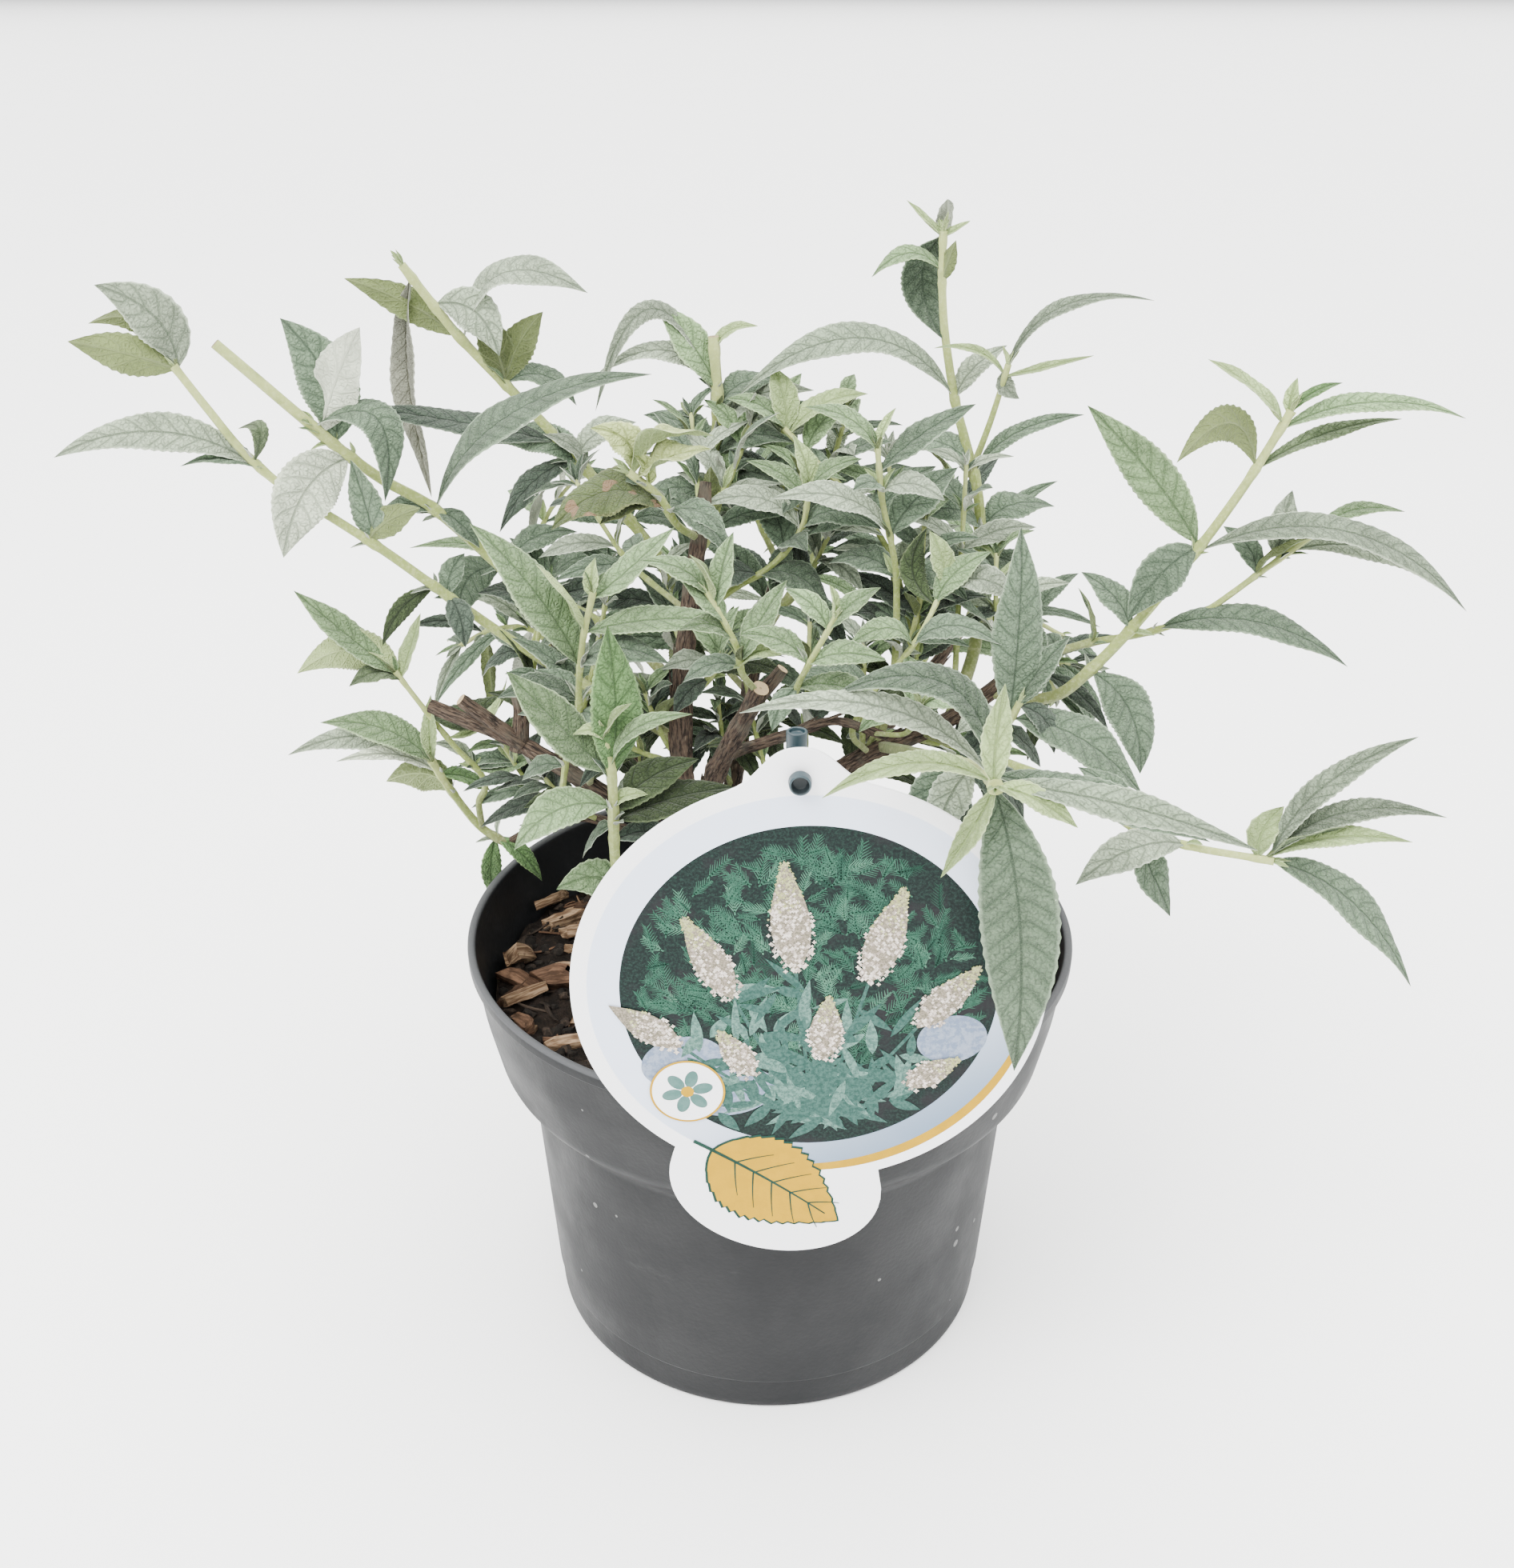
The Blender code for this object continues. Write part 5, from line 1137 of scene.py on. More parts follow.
peg = Pile()
sx, sy = STAKE_AT
hole = laid(np.array([0, HOLE_HIGH, 0]), tag_lay)
card_face = TAG_CENTRE[1] - FRONT
stake_profile = rounded([
    (0, SOIL_TOP - 6, 0), (0.8, SOIL_TOP - 6, 0.2), (STAKE_RADIUS, SOIL_TOP + 4, 1),
    (STAKE_RADIUS, STAKE_TOP - 6.2, 0.5), (2.6, STAKE_TOP - 5.0, 0.4), (2.6, STAKE_TOP, 0.35),
    (1.9, STAKE_TOP, 0.25), (1.7, STAKE_TOP - 1.0, 0.3), (0, STAKE_TOP - 1.2, 0),
])
turned(peg, stake_profile, 40, lay=Matrix.Translation((sx, sy, 0)))
reach = sy - card_face  # how far the shaft runs from the stake to the card's face
peg_profile = rounded([
    (0, 0, 0), (1.7, 0, 0.3), (1.7, reach + 0.4, 0.2), (2.5, reach + 0.5, 0.2),
    (2.85, reach + 1.2, 0.4), (2.6, reach + 3.6, 0.4), (2.1, reach + 3.6, 0.3),
    (1.75, reach + 1.6, 0.3), (0, reach + 1.5, 0),
])
# The cap's recess takes a darker copy of the peg's plastic: painted shade in the hollow.
recess = (np.arange(len(peg_profile) - 3) > len(peg_profile) - 12).astype(int)
turned(
    peg, peg_profile, 40, recess, ends=1,
    lay=Matrix.Translation((hole[0], sy, hole[2])) @ Matrix.Rotation(math.radians(90), 4, "X"),
)
# the second finish is painted shade for the recess
peg.make(
    "label_peg",
    [plastic("Peg plastic", (0.011, 0.029, 0.037)), plastic("Peg recess painted shade", (0.003, 0.008, 0.010), 0.6)],
    "peg_plastic", ["tag_stake"], sharp=40,
)

# ---------------------------------------------------------------- woody limbs

LIMBS = {  # name: (carried by, first and last radius, points from the fork out)
    "main_stem": (None, (6.4, 4.6),
        [(-1, 2, SOIL_TOP + 1.4), (-4, 2, 124), (-12, 1, 144), (-21, 0, 164)]),
    "limb_centre": ("main_stem", (3.6, 2.3),
        [(-21, 0, 164), (-26, 0, 179), (-27, 5, 204), (-25, 10, 228), (-20, 19, 266)]),
    "limb_left": ("main_stem", (3.1, 2.0),
        [(-17, 0, 150), (-36, 3, 168), (-54, 6, 180), (-78, 14, 192), (-106, 20, 202)]),
    "limb_front": ("main_stem", (3.4, 2.4),
        [(-15, 0, 146), (-21, -11, 168), (-17, -18, 195), (-3, -38, 233)]),
    "limb_thin": ("limb_front", (1.6, 1.1),
        [(-17, -15, 199), (-6, -18, 206), (4, -18, 209), (18, -20, 215), (33, -19, 210)]),
    "limb_right": ("main_stem", (3.5, 2.2),
        [(-16, 1, 152), (0, 3, 172), (28, 3, 192), (55, 3, 206), (80, 4, 226)]),
    "limb_low_left": ("main_stem", (2.0, 1.3),
        [(-12, 4, 140), (-40, 14, 158), (-66, 26, 160), (-88, 37, 144)]),
    "limb_back": ("main_stem", (3.2, 2.0),
        [(-16, 2, 150), (-12, 20, 172), (-6, 44, 200), (4, 62, 236)]),
    "limb_back_left": ("main_stem", (3.0, 1.9),
        [(-16, 2, 156), (-34, 24, 170), (-56, 48, 186), (-76, 66, 214)]),
    "limb_back_right": ("main_stem", (3.0, 1.9),
        [(-10, 3, 142), (14, 26, 166), (40, 48, 184), (66, 62, 214)]),
}
SPURS = {  # short stubs cut back long ago, fused to their limb: (from, to, radius)
    "limb_left": [
        ((-77, 13, 192), (-94, 9, 209), 1.9),
        ((-78, 14, 190), (-76, 12, 211), 2.3),
    ],
    "limb_centre": [((-21, 16, 262), (-19, 21, 273), 1.7)],
    "limb_front": [((-4, -34, 228), (3, -34, 237), 1.8)],
    "limb_right": [((76, 4, 222), (78, 2, 234), 1.8)],
}

SHOOTS = {
    "shoot_far_left": ("limb_centre", [
        ([(-26, 4, 196), (-48, 14, 206), (-80, 25, 222), (-117, 20, 254), (-146, 15, 278), (-165, 10, 309)],
         (1.9, 1.2), "opopoggodkg", [
            (1.00, -25, -10, 10, 1, 11, -125), (1.00, -17, -5, 24, 6, 14, 60),
            (1.00, -24, 4, 12, 8, 7, -140), (0.80, -58, -4, 5, 10, 12, 20), (0.82, -4, 4, 8, 12, 5),
            (0.80, -19, -6, 3, 3, 5), (0.59, -5, 4, 22, 2, 11, 40), (0.60, 15, -2, 10, 2, 10, -120),
            (0.44, 5, -8, -12, 3, 13), (0.47, -15, -6, -15, 3, 6, 60), (0.44, 4, 8, 10, 3, 9),
        ]),
    ]),
    "shoot_bare_left": ("limb_centre", [
        ([(-26, 6, 208), (-41, 27, 219), (-80, 35, 240), (-101, 35, 260), (-122, 30, 276), (-156, 20, 313)],
         (2.0, 1.6), "wgggggggg", [
            (0.72, -17, -24, -23, 6, 24, 30), (0.80, 21, -9, -20, 18, 13),
            (0.76, -13, 5, 36, 6, 17, 30), (0.78, 17, -10, 33, 2, 17, -110), (0.56, 67, 0, 42, 12, 18),
            (0.56, 12, -3, -10, 2, 9), (0.40, 20, 10, 8, 5, 10), (0.40, -17, 6, -21, 7, 14, 75),
            (0.55, -18, 3, -1, 3, 9),
        ]),
    ]),
    "shoot_back_left": ("limb_centre", [
        ([(-25, 10, 226), (-31, 44, 236), (-55, 60, 262), (-80, 65, 289), (-94, 65, 304), (-110, 60, 328)],
         (2.0, 1.4), "bopoopddppgggg", [
            (0.97, 1, -5, -67, -12, 12, 30), (0.83, -34, 0, 18, 2, 10, -130),
            (0.82, 40, -6, 16, 14, 17), (0.70, -7, 3, 21, 2, 12, -150), (0.70, 13, 2, 22, 2, 12, -120),
            (0.90, 20, -6, -14, 6, 13, 40), (0.50, -25, -10, -21, 4, 11), (0.55, -61, -6, 13, 1, 13),
            (0.47, -12, -2, 12, 3, 12), (0.50, 17, 8, 9, 4, 15), (0.70, 22, 6, -8, 6, 12),
            (0.34, -14, 8, 14, 4, 11), (0.34, 17, 4, -6, 4, 12), (0.48, -30, 8, 6, 7, 13, 10),
        ]),
    ]),
    "shoot_centre_top": ("limb_centre", [
        ([(-24, 13, 240), (-22, 32, 250), (-18, 46, 268), (-16, 50, 287), (-17, 50, 309)],
         (1.9, 1.7), "fypypgggfggp", [
            (0.80, -18, 0, 26, 2, 13, 20), (0.80, -9, 5, 15, 2, 9, 150), (0.76, -36, -4, 10, 11, 11),
            (0.95, 12, 0, 7, 3, 6), (0.78, -37, -8, -3, 27, 7, 20), (0.72, 18, 4, 8, 5, 12),
            (0.55, -22, 6, 12, 5, 13), (0.55, 22, -6, 6, 5, 13), (0.55, 6, -12, -6, 4, 11),
            (0.40, 26, 2, 3, 6, 13), (0.40, -20, -2, -4, 5, 12), (0.62, 30, -4, 16, 6, 12),
        ]),
    ]),
    "shoot_curled": ("limb_centre", [
        ([(-22, 16, 258), (-27, 6, 265), (-32, 4, 274), (-40, 3, 281)],
         (2.0, 1.7), "cccrcggr", [
            (1.00, -10, 0, 12, 5, 12, 40), (0.95, 23, 2, 11, 6, 11, -40), (0.90, 19, -4, 9, 2, 10),
            (0.48, -33, -8, -3, 8, 18), (0.80, -3, -2, 9, 2, 7, 60), (0.45, 15, -5, -5, 4, 9),
            (0.50, 18, -6, -12, 4, 8), (0.60, -16, -4, -5, 3, 12),
        ]),
    ]),
    "shoot_front_left": ("main_stem", [
        ([(-6, 0, 128), (-24, -22, 138), (-40, -37, 156), (-44, -41, 178), (-44, -41, 207), (-46, -41, 221)],
         (1.8, 1.2), "fefyyfyfggdkkd", [
            (0.89, -27, 0, 31, 0, 15, 10), (0.88, 0, 8, 42, 2, 15), (0.90, 23, -3, 19, 6, 7),
            (0.97, 7, -2, 12, 2, 5), (0.97, -8, -1, 3, 3, 5), (0.80, -28, -8, -9, 7, 14),
            (0.80, 9, 0, 4, 2, 5), (0.55, -16, -5, 6, 6, 13, 40), (0.56, 11, 8, 3, 3, 10),
            (0.76, -9, 4, -12, 2, 9), (0.60, 16, 6, -6, 3, 13), (0.79, 24, 10, 13, 3, 13),
            (0.77, 34, 6, 8, 2, 13), (0.72, 18, 8, -4, 3, 9),
        ]),
    ]),
    "shoot_left_front_high": ("limb_left", [
        ([(-56, 7, 181), (-54, -6, 194), (-55, -17, 216), (-53, -20, 237), (-49, -20, 254)],
         (1.4, 1.0), "fyfyfgggg", [
            (0.70, -28, 2, 42, 4, 16, 10), (0.84, -12, -3, 21, 2, 9, 150), (0.97, 23, 3, 20, -1, 12),
            (1.00, 1, 1, 10, 1, 5), (0.84, 42, -3, 5, 2, 11), (0.70, 26, -6, 4, 6, 12),
            (0.55, -20, -6, 4, 4, 11), (0.50, 14, -10, -4, 3, 11), (0.50, -12, 6, 10, 3, 11),
        ]),
    ]),
    "shoot_left_inner": ("limb_left", [
        ([(-80, 15, 193), (-78, 28, 206), (-73, 35, 222), (-68, 38, 236)],
         (1.2, 0.8), "ggdddgg", [
            (1.00, -11, 2, 14, 2, 10), (1.00, 13, -2, 10, 3, 10), (0.78, -17, -4, 8, 4, 13),
            (0.78, 20, 4, 6, 4, 13), (0.50, -15, 4, -8, 4, 13), (0.50, 15, -6, -7, 4, 13),
            (0.90, 2, 10, 10, 2, 10),
        ]),
    ]),
    "shoot_low_left": ("limb_low_left", [
        ([(-88, 36, 144), (-97, 36, 151), (-105, 31, 168), (-109, 28, 179)],
         (1.6, 1.2), "fypwyeee", [
            (1.00, -35, 0, 15, 5, 14), (0.62, -19, -2, 5, 6, 14, -140), (0.66, -53, 2, 12, 12, 11, 10),
            (0.84, -32, -6, 8, 5, 6), (0.98, 1, 1, 24, 1, 6), (0.84, 13, 10, -10, 2, 9),
            (0.03, 14, -4, -13, 3, 7), (0.03, -1, -4, -21, 2, 7),
        ]),
        ([(-96, 36, 150), (-96, 34, 161), (-93, 32, 170), (-102, 30, 184), (-110, 28, 198), (-117, 26, 211)],
         (1.4, 1.0), "fyoyyfpkg", [
            (1.00, -29, 0, 28, 0, 12), (0.94, -32, -3, 4, 9, 13, -135), (0.94, -14, -6, 1, 4, 9),
            (0.96, 7, 2, 19, 0, 8), (0.60, 21, 0, 21, -5, 6), (0.38, 24, -4, 9, -2, 7),
            (0.40, -13, 5, 5, 3, 5), (0.75, 25, 8, 4, -4, 14), (0.38, 22, 5, 2, 3, 9),
        ]),
    ]),
    "shoot_short_left": ("limb_low_left", [
        ([(-63, 25, 161), (-66, 10, 168), (-63, -5, 184), (-60, -6, 203), (-59, -8, 213)],
         (1.2, 1.0), "yfgg", [
            (1.00, -8, -2, 6, 2, 8), (0.96, 6, 0, 7, 2, 4), (0.90, -14, 2, 3, 3, 6),
            (0.70, -13, 4, -6, 3, 10),
        ]),
    ]),
    "shoot_front_centre": ("limb_front", [
        ([(-4, -36, 231), (-8, -44, 240), (-9, -46, 247), (-12, -46, 254), (-17, -45, 263)],
         (1.2, 0.8), "fffffygy", [
            (1.00, -16, 0, 9, 3, 9), (0.85, 4, 2, 18, 1, 8), (0.35, 11, 2, 20, 1, 10),
            (0.55, -13, -3, 4, 3, 8), (0.70, -11, 3, 11, 2, 8), (0.30, 13, -4, 5, 3, 7),
            (0.30, -14, -2, -3, 3, 9), (0.90, -5, -3, 13, 2, 6),
        ]),
    ]),
    "shoot_front_small": ("limb_front", [
        ([(-5, -33, 226), (4, -46, 232), (8, -54, 244), (16, -55, 260)],
         (1.1, 0.8), "yfffffg", [
            (1.00, -1, 0, 9, 1, 6), (0.65, 18, -4, 3, 3, 9), (0.65, -16, 0, 8, 3, 9),
            (0.90, 12, 2, 10, 2, 7), (0.90, -10, 4, 9, 2, 8), (0.45, 24, -6, -3, 4, 9),
            (0.45, -6, -7, -8, 2, 8),
        ]),
    ]),
    "shoot_centre_low": ("limb_centre", [
        ([(-26, 6, 211), (-20, -2, 218), (-14, -6, 228)],
         (1.1, 0.9), "fgpgfd", [
            (1.00, 5, 0, 16, 2, 9), (0.95, 16, -4, 4, 3, 10), (0.80, -14, -7, 3, 3, 11),
            (0.60, 12, 4, 8, 3, 10), (0.95, -10, 4, 13, 2, 10), (0.55, -9, -7, -7, 3, 10),
        ]),
    ]),
    "shoot_centre_mid": ("limb_centre", [
        ([(-25, 9, 228), (-14, 20, 238), (0, 24, 246), (9, 22, 258), (11, 20, 270)],
         (1.2, 0.9), "yfpgggdgf", [
            (1.00, -4, 2, 16, 2, 8), (1.00, 14, -2, 11, 3, 9), (0.78, -30, -4, 9, 6, 12),
            (0.78, 24, -6, 2, 6, 12), (0.60, 6, -14, 6, 4, 12), (0.60, -8, 12, 14, 4, 12),
            (0.42, -22, -8, -6, 5, 12), (0.42, 20, -6, -8, 5, 13), (0.92, -16, 2, 12, 3, 8),
        ]),
    ]),
    "shoot_tall_right": ("limb_right", [
        ([(54, 3, 205), (62, 18, 220), (65, 34, 234), (64, 42, 262), (56, 49, 290),
          (51, 50, 317), (50, 50, 339)],
         (2.0, 1.0), "gffyywsgpggggd", [
            (0.99, 1, -2, -29, -11, 13), (0.92, -19, 0, -1, 6, 8), (0.90, 3, -2, 11, 0, 7, -95),
            (1.00, -10, 0, 9, 0, 4), (1.00, 7, 0, 4, 0, 4), (0.98, 0, -4, 11, 4, 6),
            (0.66, -67, -6, 3, 18, 13, 10), (0.50, 32, -2, 19, 5, 8), (0.66, 14, 4, 14, 3, 9),
            (0.50, -26, 4, 8, 6, 13), (0.38, -22, -8, 8, 5, 13), (0.38, 24, 8, 6, 5, 13),
            (0.32, 14, -14, -2, 4, 12), (0.32, -18, 8, -6, 4, 12),
        ]),
        ([(61, 44, 268), (66, 41, 286), (70, 40, 303)],
         (1.2, 0.9), "sypy", [
            (0.95, 41, -3, 21, 10, 7), (0.90, 22, -6, 7, 0, 4), (1.00, 3, -5, -7, -3, 7, 20),
            (0.90, -19, 4, 7, 4, 4),
        ]),
    ]),
    "shoot_right_centre": ("limb_right", [
        ([(33, 3, 195), (37, 8, 218), (37, 10, 245), (35, 10, 258), (32, 10, 270), (30, 10, 286)],
         (1.3, 0.9), "pgfyggggp", [
            (0.70, -35, -5, 13, 7, 12), (0.92, 27, 4, 19, 2, 10), (1.00, -21, 2, 13, 4, 9),
            (1.00, 4, 0, 12, 1, 5), (0.70, 20, 10, 18, 3, 13), (0.55, -18, 8, 2, 5, 12),
            (0.55, 18, -10, -2, 5, 12), (0.85, -8, -10, 4, 3, 9), (0.85, 16, -6, 0, 4, 10),
        ]),
    ]),
    "shoot_right_cluster": ("limb_right", [
        ([(30, 3, 194), (24, -8, 206), (30, -14, 222), (41, -12, 236), (50, -2, 250)],
         (1.2, 0.8), "kfgfpygkf", [
            (0.90, -3, 3, 19, -7, 8), (0.70, -17, -5, 2, 6, 9), (0.70, 22, -6, 3, 6, 10),
            (0.66, 3, -7, -14, 2, 11), (0.98, 24, -4, -6, 6, 11), (0.98, -4, 4, 14, 2, 9),
            (0.45, -26, -4, 2, 5, 12), (0.45, 18, -9, -8, 4, 12), (0.90, 14, 4, 13, 3, 10),
        ]),
    ]),
    "shoot_back_centre": ("limb_right", [
        ([(42, 3, 199), (44, 20, 214), (38, 31, 244), (26, 36, 262), (13, 39, 275), (4, 40, 284)],
         (1.3, 0.9), "yyfggggfg", [
            (1.00, -4, 5, 17, 2, 9), (0.97, 21, 2, 11, 4, 9), (1.00, -16, 0, 9, 3, 9),
            (0.80, 15, -6, 12, 4, 11), (0.80, -20, 6, 2, 5, 12), (0.62, 20, 10, 16, 4, 13),
            (0.62, -24, -6, -3, 5, 13), (0.90, 10, 6, 11, 3, 9), (0.45, -20, 6, 6, 5, 13),
        ]),
    ]),
    "shoot_right_front": ("limb_right", [
        ([(58, 3, 206), (62, -10, 209), (68, -17, 213), (71, -18, 220)],
         (1.4, 1.0), "gggpddgd", [
            (0.75, 1, 7, 56, 2, 16), (0.80, 37, -12, -18, 5, 17), (1.00, 14, 4, 20, 2, 9),
            (0.70, -14, -10, 2, 4, 13), (0.60, -10, -8, -10, 3, 13), (0.95, 10, -4, -12, 4, 9),
            (0.90, 12, 12, 14, 3, 13), (0.60, 13, 2, -13, 2, 12),
        ]),
    ]),
    "shoot_right_long": ("limb_right", [
        ([(66, 3, 214), (82, -4, 215), (99, -3, 230), (119, 0, 256), (132, 0, 278), (142, 0, 299)],
         (1.9, 1.2), "fgsgoyfeyog", [
            (0.62, -35, 3, 40, 2, 13, 60), (0.22, 15, -14, -27, 6, 15), (0.60, 79, -6, -15, 16, 12),
            (0.62, -20, -8, -19, 4, 13, 30), (0.84, -24, -6, 4, 12, 10, -125), (0.96, -23, 0, 18, 2, 8),
            (0.95, 50, -3, 5, 6, 9), (1.00, 12, 0, 8, 2, 4), (1.00, 1, 1, 9, 1, 4),
            (0.84, 42, 8, 13, 4, 6), (0.36, -13, 6, 14, 3, 11),
        ]),
    ]),
    "shoot_right_side": ("limb_right", [
        ([(79, 4, 224), (92, 6, 228), (112, 4, 233), (127, 3, 240), (138, 3, 249), (156, 3, 264)],
         (1.5, 1.0), "goppfog", [
            (0.36, 55, -12, -6, 9, 13), (0.75, 12, -3, 11, 3, 10, 150), (0.88, 51, -3, -14, 7, 11),
            (0.84, 3, 6, 17, 2, 13), (1.00, 21, -3, 7, 4, 6), (0.14, -4, 4, 14, 3, 9, 120),
            (0.75, -8, 8, 11, 3, 8),
        ]),
    ]),
    "shoot_low_right": ("limb_right", [
        ([(46, 3, 201), (62, -22, 205), (82, -44, 206), (96, -51, 199), (112, -55, 194), (134, -64, 194)],
         (1.6, 1.0), "pggssyoyg", [
            (0.79, -31, -6, -9, 6, 12), (0.65, 13, -8, -25, 1, 12), (0.98, 42, -10, -34, 6, 14),
            (1.00, 35, 4, 35, 7, 8), (0.98, 45, -3, 15, 8, 8), (0.97, 36, -8, 10, 4, 7),
            (0.98, 17, -4, 11, 2, 9, 120), (0.96, 6, 5, 12, 3, 8), (0.65, -12, 8, 12, 3, 10),
        ]),
    ]),
    "shoot_front_star": ("limb_right", [
        ([(34, 3, 196), (40, -26, 208), (46, -60, 222), (50, -94, 236), (50, -113, 241)],
         (1.8, 1.6), "ypgyyysgggdp", [
            (0.98, -40, -6, 0, 6, 7), (0.90, -59, 6, 14, 10, 9), (0.92, -38, 10, 17, 16, 11),
            (1.00, 1, 2, 22, 1, 7), (0.99, -11, -6, -18, -2, 6), (0.99, 17, -5, -7, 2, 7),
            (0.97, 61, -6, -14, 4, 10), (0.90, 57, 8, -22, 2, 12), (0.94, 9, -12, -75, 4, 19, 20),
            (0.60, -10, -8, -16, 4, 18), (0.60, 16, -6, -13, 4, 12), (0.75, -9, -8, -15, 4, 11),
        ]),
    ]),
    "shoot_front_thin": ("limb_thin", [
        ([(30, -20, 211), (38, -28, 215), (41, -34, 226)],
         (0.9, 0.8), "yffg", [
            (1.00, -6, -3, 11, 2, 9), (0.90, 14, -6, 3, 4, 10), (0.80, -15, -5, -2, 4, 11),
            (0.60, 10, 4, 9, 2, 9),
        ]),
    ]),
}
GROWN = {
    "shoot_back_a": ("limb_back", (4, 61, 232), (-8, 90, 272), (-6, 8, 4), 5, 42, 60, 20),
    "shoot_back_b": ("limb_back", (0, 52, 216), (32, 102, 248), (2, 6, 2), 5, 44, 62, 60),
    "shoot_back_c": ("limb_back", (-7, 42, 197), (-34, 104, 222), (-4, 2, -2), 5, 46, 60, 0),
    "shoot_back_d": ("limb_back", (-5, 46, 203), (4, 126, 204), (2, 2, 12), 5, 46, 60, 40),
    "shoot_back_left_a": ("limb_back_left", (-75, 65, 212), (-66, 98, 252), (-8, 2, 2), 5, 42, 60, 10),
    "shoot_back_left_b": ("limb_back_left", (-66, 57, 200), (-108, 84, 196), (0, 6, 8), 4, 40, 60, 70),
    "shoot_back_left_c": ("limb_back_left", (-56, 48, 186), (-62, 112, 200), (-6, 2, 8), 5, 42, 60, 30),
    "shoot_back_right_a": ("limb_back_right", (65, 61, 212), (62, 98, 250), (8, 2, 2), 5, 42, 60, 50),
    "shoot_back_right_b": ("limb_back_right", (56, 57, 203), (104, 88, 198), (0, 8, 8), 4, 42, 60, 80),
    "shoot_back_right_c": ("limb_back_right", (42, 49, 187), (62, 114, 198), (6, 2, 8), 5, 44, 60, 15),
}
# The k leaves on the inner twigs carry painted shade inside the crown.
TWIGS = [  # finer side twigs that fill the crown: limb, foot, tip, pairs, leaf length, phase, kinds
    ("limb_centre", (-24, 11, 236), (-58, 30, 271), 4, 32, 10, "gpdg"),
    ("limb_left", (-66, 10, 186), (-48, 25, 246), 5, 33, 40, "dgpg"),
    ("limb_centre", (-25, 9, 222), (-34, 42, 240), 4, 34, 70, "gdgp"),
    ("limb_centre", (-22, 15, 250), (-14, 36, 268), 4, 30, 0, "gfpg"),
    ("limb_centre", (-20, 18, 262), (-6, 46, 284), 4, 32, 30, "pgfp"),
    ("limb_back", (4, 60, 234), (9, 34, 272), 4, 34, 50, "gpgf"),
    ("limb_back", (-2, 53, 218), (18, 36, 252), 4, 33, 80, "dgpg"),
    ("limb_right", (42, 3, 199), (36, 44, 276), 6, 34, 20, "dgpgfp"),
    ("limb_right", (42, 3, 199), (46, 25, 262), 5, 32, 60, "gdpgf"),
    ("limb_right", (55, 3, 206), (58, 30, 276), 5, 33, 10, "dgpgp"),
    ("limb_right", (68, 4, 216), (68, 25, 250), 4, 32, 45, "gpgf"),
    ("limb_right", (10, 3, 179), (12, 20, 230), 4, 30, 75, "dgfg"),
    ("limb_right", (28, 3, 192), (28, 8, 228), 4, 30, 35, "gdfp"),
    ("limb_centre", (-26, 6, 208), (-13, 16, 228), 4, 30, 5, "kdgf"),
    ("limb_centre", (-26, 2, 190), (-38, 8, 212), 4, 28, 55, "kdgf"),
    ("limb_left", (-66, 10, 186), (-66, 22, 213), 4, 32, 15, "kdgd"),
    ("limb_left", (-80, 14, 193), (-71, 38, 231), 4, 30, 65, "kgdg"),
    ("limb_right", (76, 4, 222), (88, 14, 208), 3, 26, 0, "dkg"),
    ("limb_right", (42, 3, 199), (66, -2, 194), 4, 28, 40, "dgdf"),
    ("limb_low_left", (-66, 26, 160), (-86, 30, 184), 4, 28, 70, "gdgf"),
    ("limb_back", (-9, 32, 186), (6, 26, 198), 3, 28, 20, "kkd"),
    ("limb_back_right", (14, 26, 166), (38, 26, 196), 4, 30, 60, "kdkd"),
    ("limb_left", (-36, 3, 168), (-42, 22, 192), 4, 30, 35, "kkdg"),
    ("limb_low_left", (-52, 20, 160), (-72, 22, 176), 4, 28, 5, "kdgd"),
    ("limb_centre", (-20, 18, 262), (-24, 50, 286), 4, 30, 50, "gpfg"),
    ("limb_back", (4, 62, 236), (24, 52, 288), 5, 34, 30, "dgpgf"),
    ("limb_back", (4, 60, 230), (4, 56, 286), 5, 32, 75, "gdgpf"),
    ("limb_right", (28, 3, 192), (46, 18, 242), 5, 30, 15, "kdgfp"),
    ("limb_right", (76, 4, 222), (92, 20, 216), 4, 28, 45, "gdgd"),
    ("limb_back", (-12, 20, 172), (-16, 16, 206), 4, 26, 30, "kdgf"),
    ("limb_back", (-8, 38, 192), (-20, 12, 192), 4, 26, 75, "kkdg"),
    ("limb_right", (4, 3, 175), (-8, 16, 214), 4, 28, 10, "kdgp"),
    ("limb_centre", (-26, 2, 190), (-52, 2, 204), 4, 26, 65, "kdgf"),
]
CUT_SIDES, BARK_STEP = 44, 1.1  # sides of a limb, and how far apart its rings are
bark = Pile()
limb_paths = {}


def bark_relief(rows, sides, run, girth, seed):
    """Share by which the bark stands out: ridges drawn out along the limb, broken by
    fissures, with a low swelling at each old joint."""
    a = np.arange(sides) / sides
    around = max(5, round(girth / 2.2))
    u, v = np.meshgrid(a, run, indexing="xy")
    wind = 0.05 * np.sin(v / 17 + seed)
    big = ripple((u + wind) % 1 * around, v / 11 + 40, around, seed)
    fine = ripple((u + wind) % 1 * around * 2, v / 4.5 + 90, around * 2, seed + 1)
    lump = ripple(u * 3, v / 7 + 20, 3, seed + 2)
    joint = np.exp(-(((v + seed * 5) % 21 - 10) / 1.9) ** 2)
    strings = 1 - np.abs(2 * big - 1) * 1.6
    return 0.13 * strings + 0.10 * (fine - 0.5) + 0.16 * (lump - 0.5) + 0.13 * joint


